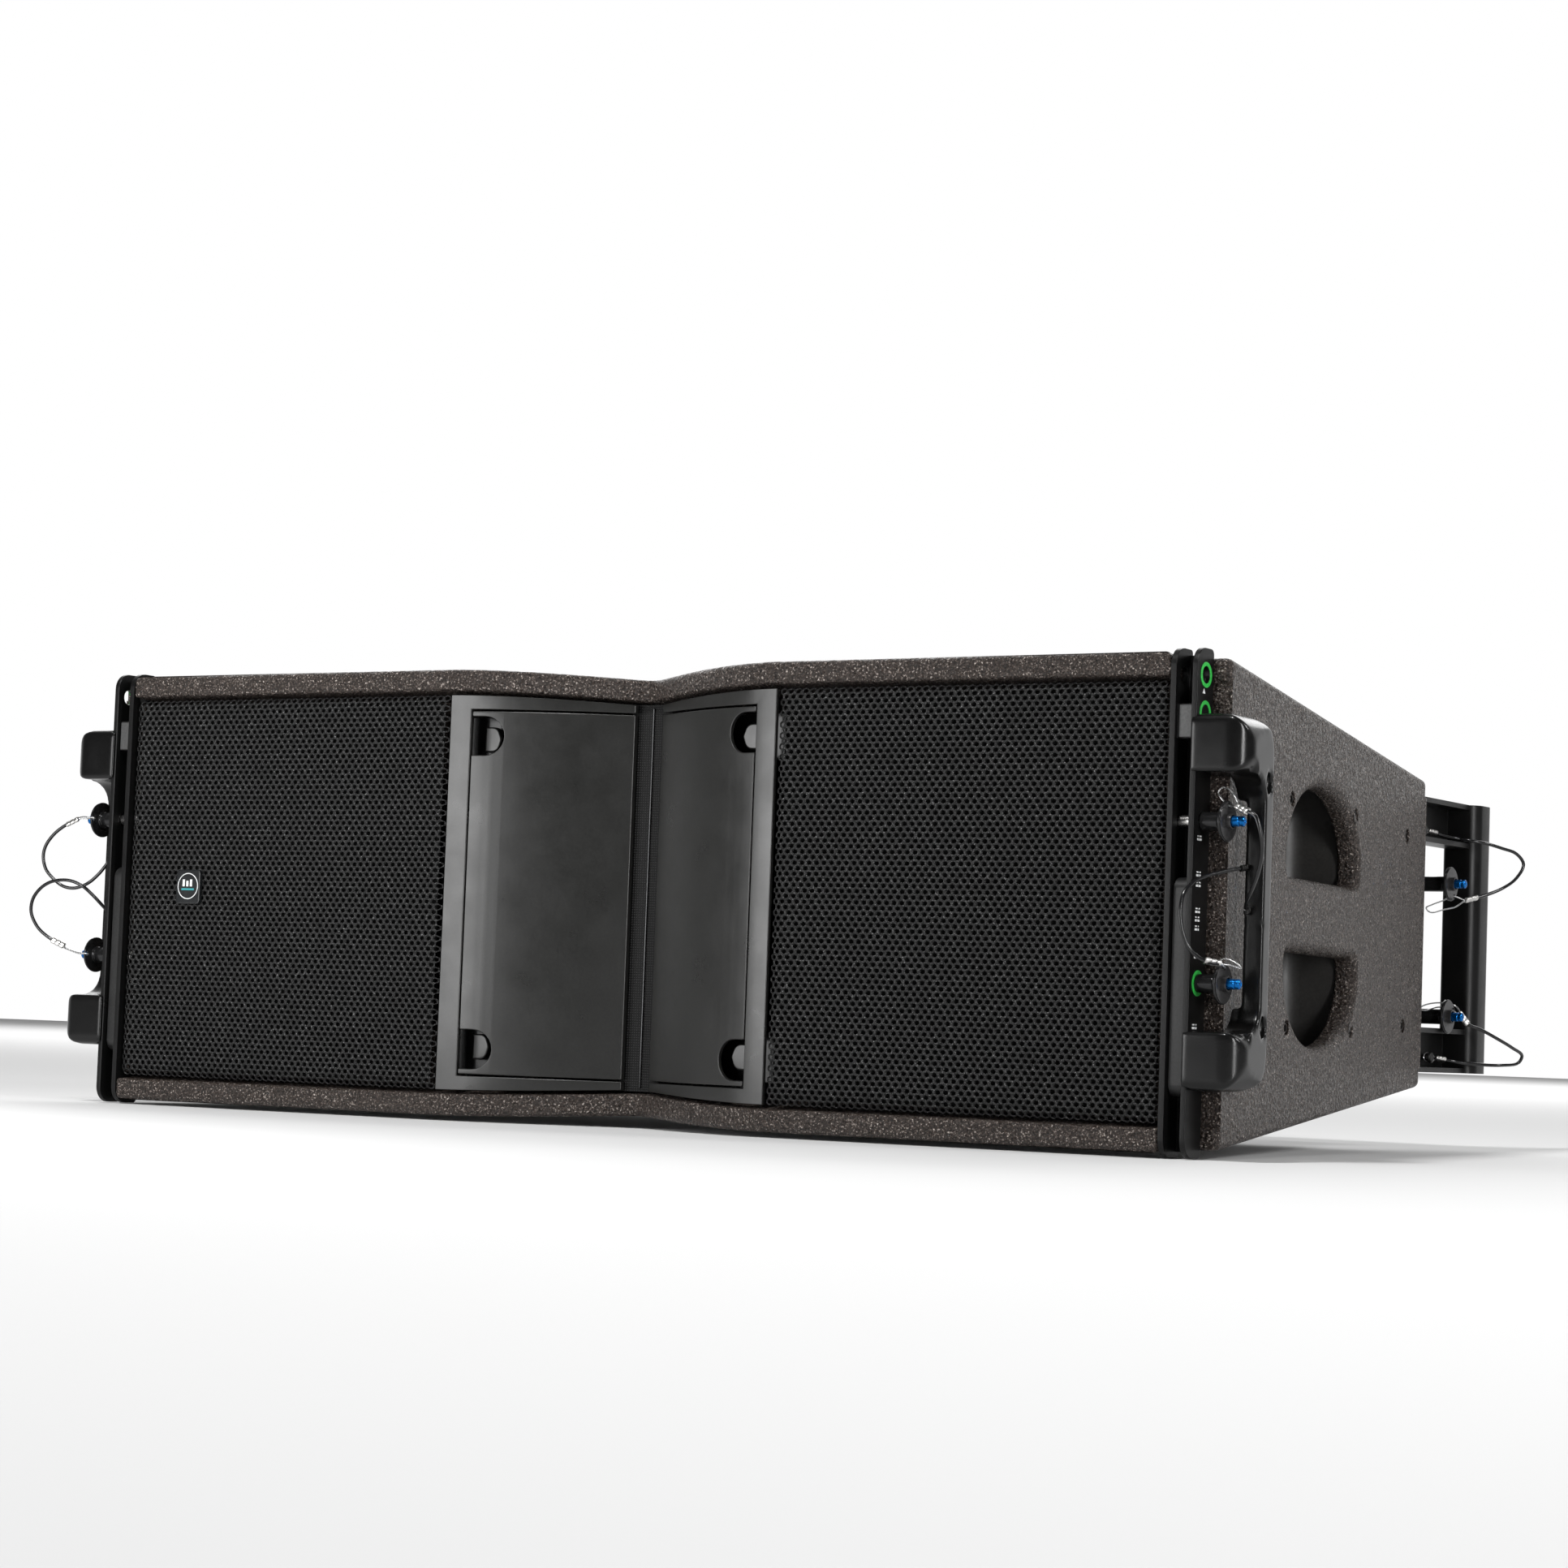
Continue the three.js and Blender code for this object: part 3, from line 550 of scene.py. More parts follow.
def satin(name, colour, roughness, grain=0.035, metallic=0.0, **sockets):
    """Moulded or coated surface with a fine grain and slight wear of its gloss."""
    material, shader = new_material(name, colour, roughness, metallic, **sockets)
    where = coordinates(material)
    patches = noise(material, where, 45, 5.0, 0.6)
    fine = noise(material, where, 2600, 2.0)
    drive(material, shader, "Roughness", patches,
          [(0.25, max(0.05, roughness - 0.06)), (0.75, roughness + 0.08)])
    drive(material, shader, "Base Color", noise(material, where, 700, 4.0),
          [(0.35, [c * 0.85 for c in rgb(colour)]), (0.7, [min(1, c * 1.2) for c in rgb(colour)])])
    bump(material, shader, [(fine, grain, 0.6)])
    return material


def brushed(name, colour, roughness, stretch):
    """Bare metal with fine lines, drawn out along the axis of least stretch."""
    material, shader = new_material(name, colour, roughness, 1.0)
    where = coordinates(material, stretch)
    lines = noise(material, where, 900, 3.0, 0.7)
    drive(material, shader, "Roughness", lines, [(0.3, roughness - 0.08), (0.7, roughness + 0.12)])
    drive(material, shader, "Base Color", noise(material, coordinates(material), 240, 4.0),
          [(0.3, [c * 0.8 for c in colour]), (0.7, colour)])
    bump(material, shader, [(lines, 0.03, 0.5)])
    return material


def mesh_fabric():
    """Black polyester thread of the grille mesh, with glints painted into its colour as sparse near-white
    spots.
    """
    material, shader = new_material("mesh_fabric", 0.012, 0.42, Specular_IOR_Level=0.3)
    where = coordinates(material)
    fibres = noise(material, coordinates(material, (1, 1, 3.2)), 2400, 3.0, 0.7)
    # Painted highlights: sparse near-white spots in the thread colour stand in for glints.
    glints = noise(material, where, 1300, 3.0, 0.7)
    drive(material, shader, "Base Color", glints, [(0.3, 0.003), (0.62, 0.014), (0.72, 0.3)])
    drive(material, shader, "Roughness", noise(material, where, 1200), [(0.4, 0.14), (0.62, 0.5)])
    bump(material, shader, [(fibres, 0.3, 1.0)])
    return material


def woven_cloth():
    """Fine acoustic cloth: two crossed sets of threads, about 1.4 mm apart."""
    material, shader = new_material("woven_cloth", 0.02, 0.6, Specular_IOR_Level=0.2)
    threads = [waves(material, direction, 230) for direction in ("X", "Z")]
    both = node(material, "Math", {"operation": "MULTIPLY"})
    for thread, socket in zip(threads, both.inputs):
        link(material, thread, socket)
    drive(material, shader, "Base Color", both.outputs[0], [(0.2, 0.001), (0.8, 0.024)])
    bump(material, shader, [(both.outputs[0], 0.25, 1.0)])
    return material


def twisted_wire():
    """Bare stranded steel wire."""
    material, shader = new_material("twisted_wire", (0.62, 0.61, 0.59), 0.28, 1.0)
    strands = waves(material, "DIAGONAL", 420)
    drive(material, shader, "Base Color", strands, [(0.1, 0.3), (0.7, 0.7)])
    bump(material, shader, [(strands, 0.15, 0.8)])
    return material


METAL_SLOT = "powder_coated_metal"
COATING = textured_coating()
SATIN_GREY = satin("satin_grey_plastic", (0.011, 0.011, 0.0103), 0.31, 0.02, Specular_IOR_Level=0.5)
POWDER = satin("black_powder_coat", 0.004, 0.32, 0.09, Specular_IOR_Level=0.24)
MOULDED = satin("black_moulded_plastic", 0.004, 0.22, 0.04, Specular_IOR_Level=0.3)
CUP = satin("cup_plastic", (0.030, 0.0285, 0.027), 0.4, 0.05)
MESH = mesh_fabric()
CLOTH = woven_cloth()
FOAM = satin("black_foam", 0.003, 0.9, 0.4, Specular_IOR_Level=0.15)
STEEL = brushed("turned_steel", (0.62, 0.61, 0.59), 0.22, (14, 1, 1))
CRIMP = brushed("crimp_metal", (0.66, 0.65, 0.63), 0.3, (1, 1, 1))
WIRE = twisted_wire()
FLANGE_FACE = satin("flange_face", (0.045, 0.044, 0.045), 0.2, 0.02, 0.5)
DARK_STEEL = satin("dark_link_steel", 0.022, 0.34, 0.05, 0.4)
STOP_GREY = satin("stop_block_grey", 0.07, 0.38, 0.05, 0.4)
BLACK_ANODISED = satin("black_anodised", (0.030, 0.030, 0.031), 0.13, 0.01, 0.7)
BLUE = satin("blue_anodised", (0.004, 0.13, 0.42), 0.22, 0.02, 0.85)
GREEN = satin("green_ring", (0.03, 0.42, 0.06), 0.4, 0.03)
WHITE = satin("white_marking", (0.62, 0.63, 0.63), 0.55, 0.03)
CABLE = satin("cable_coating", (0.006, 0.006, 0.0065), 0.18, 0.03)
BLACK_SCREW = satin("black_screw", (0.014, 0.0135, 0.013), 0.34, 0.03, 0.5)
BADGE_BLACK = satin("badge_black", (0.008, 0.009, 0.010), 0.22, 0.01)
BADGE_TEAL = satin("badge_teal", (0.02, 0.22, 0.24), 0.3, 0.01)
BOARD = satin("circuit_board", (0.02, 0.07, 0.03), 0.4, 0.05)
CAST = satin("cast_black_metal", 0.02, 0.5, 0.2)


# ---- Lanyards: the cords come first
# For each lanyard: where its crimp starts along its route, the route of its coated cable from pin
# to anchor, which is the CAD tube's, and the route of its bare wire eye, which runs from the crimp
# through the hole in the flange and round its rim.
LANYARDS = {
    "front_upper_right": (6.4, [
        (363.6, 9.4, 48.2), (365.6, 7.6, 48.3), (369.2, 5, 46.8), (374.5, 3, 44.3), (379.7, 2, 41.8),
        (382, 2, 36.7), (383, 3, 31.3), (382.7, 5, 25.5), (380.7, 8, 19.8), (377.8, 11, 13.7),
        (373.6, 15, 7.5), (369.4, 19, 2.1), (366.6, 23, -2), (366.2, 26, -4.4)], [
        (368.6, 6, 48), (365.2, 7.4, 53.4), (359.2, 9.2, 56.2), (356.6, 9.3, 53.9),
        (358.6, 9.3, 50.6), (361.8, 9.4, 47.8), (365.6, 8.4, 46.4)]),
    "front_lower_right": (8.6, [
        (363.6, 9.4, -31.2), (365, 5, -30.6), (364, 0.2, -30), (360.6, -3.6, -29.4),
        (356.6, -5.6, -28), (353.8, -7, -25.7), (350.9, -8.5, -21.9), (349.1, -9.5, -16.8),
        (347.8, -10, -11.4), (347.2, -10, -4.7), (347.5, -7.5, 3.3), (349.9, -2, 9.1),
        (353.1, 4, 12.3), (356.3, 10, 14.2), (359.3, 15.5, 15.7), (362.6, 21.4, 17.2),
        (365.6, 26, 18)], [
        (365, 2.6, -30.3), (367.6, 6.4, -30.6), (371.4, 9, -31.8), (369, 9.8, -29.6),
        (361.6, 9.6, -27.4), (359.4, 9.4, -29.6), (361.8, 9.4, -31.6), (364.4, 5.6, -31.6)]),
    "front_upper_left": (9.6, [
        (-363.6, 1.6, 40), (-367.4, 1.4, 40.6), (-370.3, 1.5, 40.6), (-381.9, 0, 35.7),
        (-389, -1.6, 30.3), (-394, -2.6, 23.5), (-395.5, -2.6, 17.3), (-393.9, -1.8, 10.1),
        (-388.2, -0.6, 4), (-381.9, 1.2, -0.1), (-374.6, 3, -0.9), (-366.3, 4.8, 2.1),
        (-359.9, 7, 8), (-353, 11, 18.2), (-349, 13, 20)], [
        (-372.4, 0.6, 40.3), (-366, -1.6, 40.8), (-361.6, -2.6, 40.4), (-358.8, -0.8, 40.2),
        (-361.8, 1.4, 39.9), (-366.4, 2.6, 40), (-372.4, 2, 39.9)]),
    "front_lower_left": (16.4, [
        (-363.6, 1.6, -39.2), (-367.4, 1.8, -38.9), (-367.9, 2.5, -38.5), (-378.2, 1, -35.4),
        (-388.4, -2, -30.5), (-395.2, -4.8, -24.5), (-398.8, -7, -16), (-397.3, -7.8, -8.4),
        (-392.2, -7.6, -2.1), (-385.2, -7.2, 1.8), (-377.1, -6.4, 3.3), (-370, -5.2, 2.8),
        (-362.8, -3.2, -0.2), (-358.5, 0.8, -5.1), (-353.4, 9, -14), (-349, 12, -17.4)], [
        (-378.6, 0.2, -35.9), (-369, -1.4, -38.2), (-361.6, -2.6, -39.2), (-358.8, -0.8, -39.4),
        (-361.8, 1.4, -39.4), (-369.4, 2.8, -39.2), (-378.4, 1.8, -36.3)]),
    "rear_upper_right": (8, [
        (315.8, 431.8, 24), (317.8, 437.4, 21.6), (321, 440.8, 22.7), (327, 450, 25.7),
        (333, 460.6, 30.2), (337, 473.8, 37.2), (338.5, 481.5, 45.9), (336.5, 474.2, 51.8),
        (331.5, 463, 54.4), (325, 453.2, 56.7), (318, 447.6, 57.8), (310.6, 447.6, 59),
        (305.6, 438.6, 59.8), (303.2, 428, 61)], [
        (317.6, 438, 20.9), (313.4, 437.4, 18), (308.6, 429.6, 15.8), (304.2, 420.6, 13.9),
        (302.6, 418.4, 16.4), (305.4, 421.4, 18.6), (310, 427.4, 21.4), (313.8, 431.8, 24),
        (317.2, 437.4, 22.6)]),
    "rear_lower_right": (3.6, [
        (315.8, 434.4, -43), (317.8, 439, -45.6), (321, 440.4, -50.5), (327, 448.6, -54),
        (333, 459.7, -58.9), (337, 473.6, -63.8), (338.5, 486.3, -68.4), (336.5, 486.5, -72.3),
        (331.5, 471.5, -74.3), (324.5, 463.2, -74.5), (316.5, 454.9, -73.9), (310.4, 449.6, -73.2),
        (305.6, 442, -72.2), (303.2, 435.4, -71.6)], [
        (317.4, 437.6, -43.6), (314.6, 438.6, -40.6), (309.4, 427.6, -39), (304.4, 414, -41),
        (302.8, 411.8, -42.9), (304.6, 413.8, -44), (309.2, 424.6, -41.6), (313.8, 434.2, -42.9),
        (317, 437.6, -45.4)]),
}
for rear in ("rear_upper", "rear_lower"):
    start, *routes = LANYARDS[rear + "_right"]
    LANYARDS[rear + "_left"] = (start, *[[(-x, y, z) for x, y, z in route] for route in routes])

CABLE_RADIUS = 1.0
WIRE_RADIUS = 0.42
CRIMP_LENGTH = 8.6
CRIMP_WIDTH = 2.1
CRIMP_THICKNESS = 1.35
BRACKET_FACE_X = 298.2          # the outside of the rear bracket


def crimp(start, way, length=CRIMP_LENGTH):
    """A pressed double sleeve from start along a direction: an oval tube with dents."""
    way = Vector(way).normalized()
    across = way.orthogonal().normalized()
    other = way.cross(across)
    shares = [(0, 0.8), (0.05, 1), (0.26, 1), (0.33, 0.84), (0.4, 1), (0.6, 1), (0.67, 0.84), (0.74, 1),
              (0.95, 1), (1, 0.8)]
    sides = 16
    points = []
    for share, size in shares:
        points += ellipse(start + way * share * length, across * CRIMP_WIDTH * size,
                          other * CRIMP_THICKNESS * size, sides)
    return points, skin(len(shares), sides)


def route_length(route):
    return sum((b - a).length for a, b in zip(route, route[1:]))


def along_route(route, distance):
    """The point at a distance along a route."""
    for a, b in zip(route, route[1:]):
        step = (b - a).length
        if distance <= step:
            return a.lerp(b, distance / step)
        distance -= step
    return route[-1]


def beyond(route, distance):
    """The part of a route that is left after a distance along it."""
    rest = [route[i] for i in range(1, len(route)) if route_length(route[:i + 1]) > distance + 0.3]
    return [along_route(route, distance), *rest]


def anchor(place_name, side, end, back):
    """What holds the cable's far end: a sleeve, and at the rear an eye under a screw."""
    name = f"{place_name}_anchor_{side}"
    if place_name.startswith("front"):
        return [piece(name, crimp(end + back * 0.5, back, 3.6), BLACK_SCREW, "cabinet", "pin_steel")]
    if place_name == "rear_upper":
        sleeve, tail = crimp(end + back, -back, 8), end - back * 7
    else:
        sleeve, tail = crimp(end + back * 0.6, back, 8), end
    made = [piece(name, sleeve, CRIMP, "cabinet", "pin_steel")]
    turn = Vector((0, back.y * 0.2, 3.6))
    far = tail - back * 8.2
    loop = rope(smooth_route([tail + turn * 0.15, tail - back * 3 + turn * 0.8, far + turn * 0.4,
                              far - turn * 0.4, tail - back * 3 - turn * 0.8, tail - turn * 0.15], 8),
                WIRE_RADIUS, 8)
    made.append(piece(name + "_eye", loop, WIRE, "cabinet", "pin_steel", level=False))
    centre = tail - back * 5.2
    eye_x = centre.x * SIDES[side]
    screw = turned(soft_profile([(BRACKET_FACE_X, 0), (BRACKET_FACE_X, 1.9), (eye_x + 1.0, 1.9),
                                 (eye_x + 1.0, 3.6), (eye_x + 2.6, 2.8), (eye_x + 2.6, 0)], 0.4), "X",
                   (centre.y, centre.z), 24)
    piece(name + "_screw", for_side(screw, side), BLACK_SCREW, slot=METAL_SLOT)
    return made


def add_lanyard(place_name, side):
    """A coated cable with a crimp and a wire eye at its pin, and its anchor."""
    name = f"{place_name}_lanyard_{side}"
    pin = f"{place_name}_pin_{side}"
    start, route, eye = LANYARDS[f"{place_name}_{side}"]
    route = smooth_route(route, 5)
    mouth = along_route(route, start)
    sleeve = crimp(mouth, along_route(route, start + CRIMP_LENGTH) - mouth)
    near = piece(name + "_pin_crimp", sleeve, CRIMP, pin, "pin_steel", [name])
    loop = rope(smooth_route([mouth, *eye, mouth]), WIRE_RADIUS, 8)
    near_eye = piece(name + "_pin_eye", loop, WIRE, pin, "pin_steel", [name], level=False)
    route = beyond(route, start + 0.5)
    cable = piece(name + "_cable", rope(route, CABLE_RADIUS, 14), CABLE, None, "coated_cable",
                  [name], level=False)
    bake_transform(cable)
    far = anchor(place_name, side, route[-1], (route[-9] - route[-1]).normalized())


PLACES = ("front_upper", "front_lower", "rear_upper", "rear_lower")
for place_name in PLACES:
    for side in SIDES:
        add_lanyard(place_name, side)


# ---- Box
def top_panel():
    """The sheet over the box: valley-shaped in front, narrower and lower towards the rear."""
    edge = VALLEY_HALF + 4
    xs = [-edge + 2 * edge * i / 88 for i in range(89)]
    front = [(x, valley(x)) for x in xs]
    right = filleted([(0, 0), (CHANNEL_X, 0), (CHANNEL_X, STEP_Y), (SIDE_FRONT_X, STEP_Y),
                      (SIDE_REAR_X, BOX_DEPTH), (0, BOX_DEPTH)], [0, 1.5, 0.8, 4, 4, 0])[1:-1]
    left = [(-x, y) for x, y in right][::-1]
    sheet = plate(front + right + left, FRONT_HALF - PLY, FRONT_HALF, "Z", (1.2, 3.6), steps=5)
    return moved(sheet, lambda p: (p[0], p[1], p[2] - TAPER * p[1]))


piece("top_board", top_panel(), COATING, slot="textured_wood", stands_for=["top_panel"])
piece("bottom_board", moved(top_panel(), lambda p: (p[0], p[1], -p[2])), COATING,
      slot="textured_wood", stands_for=["bottom_panel"])

GAP = 0.4                       # between boards that meet
SIDE_START = 2.0
side_run = Vector((SIDE_REAR_X - SIDE_FRONT_X, BOX_DEPTH - STEP_Y, 0))
SIDE_LENGTH = side_run.length
side_ahead = side_run.normalized()
side_out = Vector((side_ahead.y, -side_ahead.x, 0))
side_origin = Vector((SIDE_FRONT_X, STEP_Y + SIDE_START, 0))


def on_side(shape):
    """Moves a shape from the side panel's own frame (along, up, outwards) to the design frame."""
    return moved(shape, lambda p: side_origin + side_ahead * p[0] + Vector((0, 0, p[1])) + side_out * p[2])


POCKET_U, POCKET_HALF, BAR_HALF, POCKET_RISE = 165, 64, 19.5, 49
POCKET_FLARE = 7.0
SIDE_SCREWS = [(u, sign * v) for u, v in ((104.5, 59), (222, 58.5), (327, 54)) for sign in (1, -1)]
SCREW_HOLE = 3.9
SEAM_COVER = 1.8                # the side boards run this far up over the edges of the panels


def pocket_mouth(sign):
    """A hand hole: flat along the grip bar, domed away from it, with rounded corners."""
    corners = arc(POCKET_U - POCKET_HALF + 7, BAR_HALF + 7, 7, 180, 270, 6)
    corners += arc(POCKET_U + POCKET_HALF - 7, BAR_HALF + 7, 7, 270, 360, 6)
    dome = [(POCKET_U + POCKET_HALF * math.cos(t), BAR_HALF + 9 + (POCKET_RISE - 9) * math.sin(t))
            for t in (math.pi * (i + 0.5) / 32 for i in range(32))]
    outline = corners + dome
    return outline if sign > 0 else [(u, -v) for u, v in outline][::-1]


def side_panel():
    """A tapered side board with its two hand holes and its screw holes."""
    low = FRONT_HALF - PLY + SEAM_COVER - TAPER * (STEP_Y + SIDE_START)
    high = FRONT_HALF - PLY + SEAM_COVER - TAPER * BOX_DEPTH
    end = SIDE_LENGTH - SIDE_START - GAP
    outline = [(0, -low), (end, -high), (end, high), (0, low)]
    holes = [pocket_mouth(1), pocket_mouth(-1)] + [circle(u, v, SCREW_HOLE, 24) for u, v in SIDE_SCREWS]
    edges = [(1.5, POCKET_FLARE)] * 2 + [(0.3, 0.7)] * len(SIDE_SCREWS)
    return on_side(plate(outline, -PLY, 0.06, "Z", (0.3, 0.05), holes, edges, steps=6))


CUP_DEPTH, CUP_WALL, CUP_HALF, CUP_FILLET = 34, 2.5, 71, 15


def hand_cup():
    """A tray whose floor runs into its walls in a wide curve, with a flange round its mouth."""
    top = -PLY - GAP
    mouth = rounded_rectangle(POCKET_U - POCKET_HALF - 2, -CUP_HALF, POCKET_U + POCKET_HALF + 2, CUP_HALF,
                              18, 8)
    curve = [math.pi / 2 * i / 6 for i in range(7)]
    inner = [(top, 0)]
    inner += [(top - CUP_DEPTH + CUP_FILLET * (1 - math.sin(t)), CUP_FILLET * (1 - math.cos(t)))
              for t in curve]
    outer = [(top, -7), (top - 3, -7), (top - 3, -CUP_WALL)]
    outer += [(height - CUP_WALL, distance - CUP_WALL) for height, distance in inner[1:]]
    levels = outer[::-1] + inner
    points = [Vector((*p, height)) for height, distance in levels for p in inset(mouth, distance)]
    return on_side((points, skin(len(levels), len(mouth))))


def screws_at(places, radius, height):
    """Round socket screw heads in a frame whose third axis points out of the surface."""
    bore = radius * 0.55
    head = turned(soft_profile([(-3, 0), (-3, radius * 0.6), (0, radius * 0.6), (0, radius),
                                (height * 0.55, radius), (height, radius * 0.72), (height, bore),
                                (height - 1.6, bore), (height - 1.6, 0)], 0.25), "Z", (0, 0), 24)
    return join(*[moved(head, lambda p, at=at: Vector(p) + Vector(at)) for at in places])


for side in SIDES:
    side_piece("side_board", side, side_panel(), COATING, "textured_wood", "side_panel")
    side_piece("hand_tray", side, hand_cup(), CUP, "satin_plastic", "hand_cup")
    side_screws = on_side(screws_at([(u, v, -3.4) for u, v in SIDE_SCREWS], 3.6, 2.6))
    side_piece("side_screws", side, side_screws, BLACK_SCREW, METAL_SLOT)


def rear_panel():
    low, high = span("rear_panel")
    hole = rounded_rectangle(-52, -26, 52, 26, 4)
    outline = [(low.x, low.z), (high.x, low.z), (high.x, high.z), (low.x, high.z)]
    return plate(outline, low.y, high.y, "Y", 0.6, [hole], steps=2)


piece("rear_board", rear_panel(), COATING, slot="textured_wood", stands_for=["rear_panel"])


SOCKET_X = (-26, 26)


def connector_plate():
    """A dished plate with two round sockets; its four screws are made apart from it."""
    low, high = span("connector_plate")
    face = BOX_DEPTH + GAP
    bores = [circle(x, 0, 11.5, 40) for x in SOCKET_X]
    sheet = plate(rounded_rectangle(low.x, low.z, high.x, high.z, 5), face, face + 2, "Y", 0.5, bores,
                  steps=2)
    parts = [sheet]
    for x in SOCKET_X:
        collar = counted_from(face, [(-22, 11.4), (4, 11.4), (4.6, 12), (4.6, 14.4), (4, 15), (-22, 15)])
        core = counted_from(face, [(-21, 0), (-21, 11.5), (-19, 11.5), (-19, 5.2), (-2, 5.2), (-2, 3.2),
                                   (-8, 3.2), (-8, 0)])
        parts += [lathe_ring(collar, "Y", (x, 0)), turned(soft_profile(core), "Y", (x, 0))]
        parts += [box(x - 1.4, x + 1.4, face - 19, face - 3, z, z + 3.8, 0.3) for z in (7.6, -11.4)]
    return join(*parts)


piece("connector_panel", connector_plate(), POWDER, slot=METAL_SLOT, stands_for=["connector_plate"])
screw_heads = screws_at([(x, z, BOX_DEPTH + GAP + 2) for x in (-56, 56) for z in (-28, 28)], 3.4, 2.2)
piece("connector_screws", moved(screw_heads, along("Y")), BLACK_SCREW, slot=METAL_SLOT)

# ---- Grilles
MESH_PITCH = 4.5
MESH_ROW = 2.9
MESH_HOLE = 0.60                # the hole's share of its mesh
MESH_BACK = 0.15
RIM_PULL = 3.2
RIM_WIDTH = 8


def grille_mesh(low, high):
    """A sheet of staggered six-sided meshes with crowned threads, pulled back round its rim."""
    columns = round((high.x - low.x) / MESH_PITCH - 0.5)
    rows = round((high.z - low.z) / MESH_ROW - 1 / 3)
    pitch = (high.x - low.x) / (columns + 0.5)
    lift = (high.z - low.z) / (rows + 1 / 3)
    left = low.x + pitch / 2
    third = lift / 3
    bottom = low.z + 2 * third
    corners = [(0, 2 * third), (-pitch / 2, third), (-pitch / 2, -third), (0, -2 * third),
               (pitch / 2, -third), (pitch / 2, third)]
    ids, points, faces = {}, [], []

    def pull(x, z):
        """How far the sheet stands behind its front at a place."""
        reach = min(x - low.x, high.x - x, z - low.z, high.z - z)
        return RIM_PULL * max(0.0, 1 - max(reach, 0) / RIM_WIDTH) ** 2.2

    def shared(x, z):
        key = (round(x * 20), round(z * 20))
        if key not in ids:
            ids[key] = len(points)
            points.append(Vector((x, low.y + MESH_BACK + pull(x, z), z)))
        return ids[key]

    for row in range(rows):
        for column in range(columns):
            cx = left + (column + 0.5 * (row % 2)) * pitch
            cz = bottom + row * lift
            outer = [shared(cx + a, cz + b) for a, b in corners]
            rings = []
            for size, back in ((0.82, 0.10), (MESH_HOLE + 0.02, 0.55), (MESH_HOLE, 1.15)):
                rings.append(list(range(len(points), len(points) + 6)))
                for a, b in corners:
                    x, z = cx + a * size, cz + b * size
                    points.append(Vector((x, low.y + MESH_BACK + pull(x, z) + back, z)))
            for below, above in zip([outer] + rings, rings):
                faces += bridge(below, above)
    return points, faces


def add_grille(side):
    """A foam pad with the mesh stretched over it."""
    node_name = "grille_" + side
    low, high = span(node_name)
    if SIDES[side] < 0:
        low, high = Vector((-high.x, low.y, low.z)), Vector((-low.x, high.y, high.z))
    foam = plate(rounded_rectangle(low.x + 4, low.z + 4, high.x - 4, high.z - 4, 5), low.y + 2.6, high.y,
                 "Y", (0.8, 0.4))
    backing = side_piece("grille_foam", side, foam, FOAM, "mesh_fabric")
    sheet = side_piece("grille_mesh", side, grille_mesh(low, high), MESH, "mesh_fabric", "grille",
                       level=False)


for side in SIDES:
    add_grille(side)


def badge():
    """A plain square badge with a thin ring, three short bars and a band under them."""
    x, z, front, back = -284.5, 0.5, -1.7, 0.9
    square = plate(rounded_rectangle(x - 8.6, z - 9.8, x + 8.6, z + 9.8, 2), front, back, "Y", 0.5)
    ring = lathe_ring(counted_from(front, [(0.2, 7), (-0.1, 7), (-0.2, 7.2), (-0.1, 7.5), (0.2, 7.5)]),
                      "Y", (x, z + 0.4), 56)
    bars = [box(x - 3.9 + 2.7 * i, x - 2.3 + 2.7 * i, front - 0.15, front + 0.2, z + 0.2, z + 0.2 + height,
                0.05) for i, height in enumerate((4.0, 3.2, 4.0))]
    band = box(x - 4.6, x + 4.6, front - 0.15, front + 0.2, z - 2.0, z - 0.9, 0.05)
    return square, ring, join(*bars), band


for part, shape, finish in zip(("plate", "ring", "bars", "band"), badge(),
                               (BADGE_BLACK, WHITE, WHITE, BADGE_TEAL)):
    piece("badge_" + part, shape, finish, slot="moulded_plastic")

# ---- Waveguide
def add_waveguide():
    """The frames and fins either side of the mouth, and the bosses their latches close on."""
    for side in SIDES:
        softened("waveguide_frame_" + side, SATIN_GREY, "cabinet", 0.5)
        softened("fin_" + side, SATIN_GREY, "fin_" + side, 0.6, 3)
        bosses = join(*[plate(
            filleted([(89.3, z - 7), (89.3, z + 7), (81, z + 7), (78.4, z), (81, z - 7)],
                     [0.6, 0.6, 5, 3, 5]), 13.5, 18, "Y", 1.0) for z in (-84.5, 84.5)])
        side_piece("latch_bosses", side, bosses, SATIN_GREY, "moulded_plastic")


def centre_cloth():
    """The cloth in the mouth of the horn, drawn back to the rib at its middle."""
    low, high = span("waveguide_cloth")
    columns, rows = 12, 40
    points, faces = [], []
    for i in range(columns + 1):
        x = low.x + (high.x - low.x) * i / columns
        for j in range(rows + 1):
            z = low.z + (high.z - low.z) * j / rows
            points.append(Vector((x, high.y - 0.3 - 1.9 * abs(x / high.x) ** 0.9, z)))
    for i in range(columns):
        for j in range(rows):
            a = i * (rows + 1) + j
            faces.append([a, a + rows + 1, a + rows + 2, a + 1])
    return points, faces


add_waveguide()
cloth_low, cloth_high = span("waveguide_cloth")
cloth = piece("centre_cloth", centre_cloth(), CLOTH, slot="woven_cloth", stands_for=["waveguide_cloth"],
              level=False)
rib = box(-0.55, 0.55, cloth_high.y - 1.5, cloth_high.y, cloth_low.z + 2, cloth_high.z - 2, 0.4)
piece("centre_rib", rib, BLACK_ANODISED, slot="moulded_plastic")

# ---- Front rigging
pin_spans = [span(f"front_{level}_pin_right") for level in ("upper", "lower")]
PIN_Y = pin_spans[0][0].y / 2 + pin_spans[0][1].y / 2
PIN_Z = [(low.z + high.z) / 2 for low, high in pin_spans]
LINK_HOLE_Z = 111.6
UPPER_RING_Z = 92.6


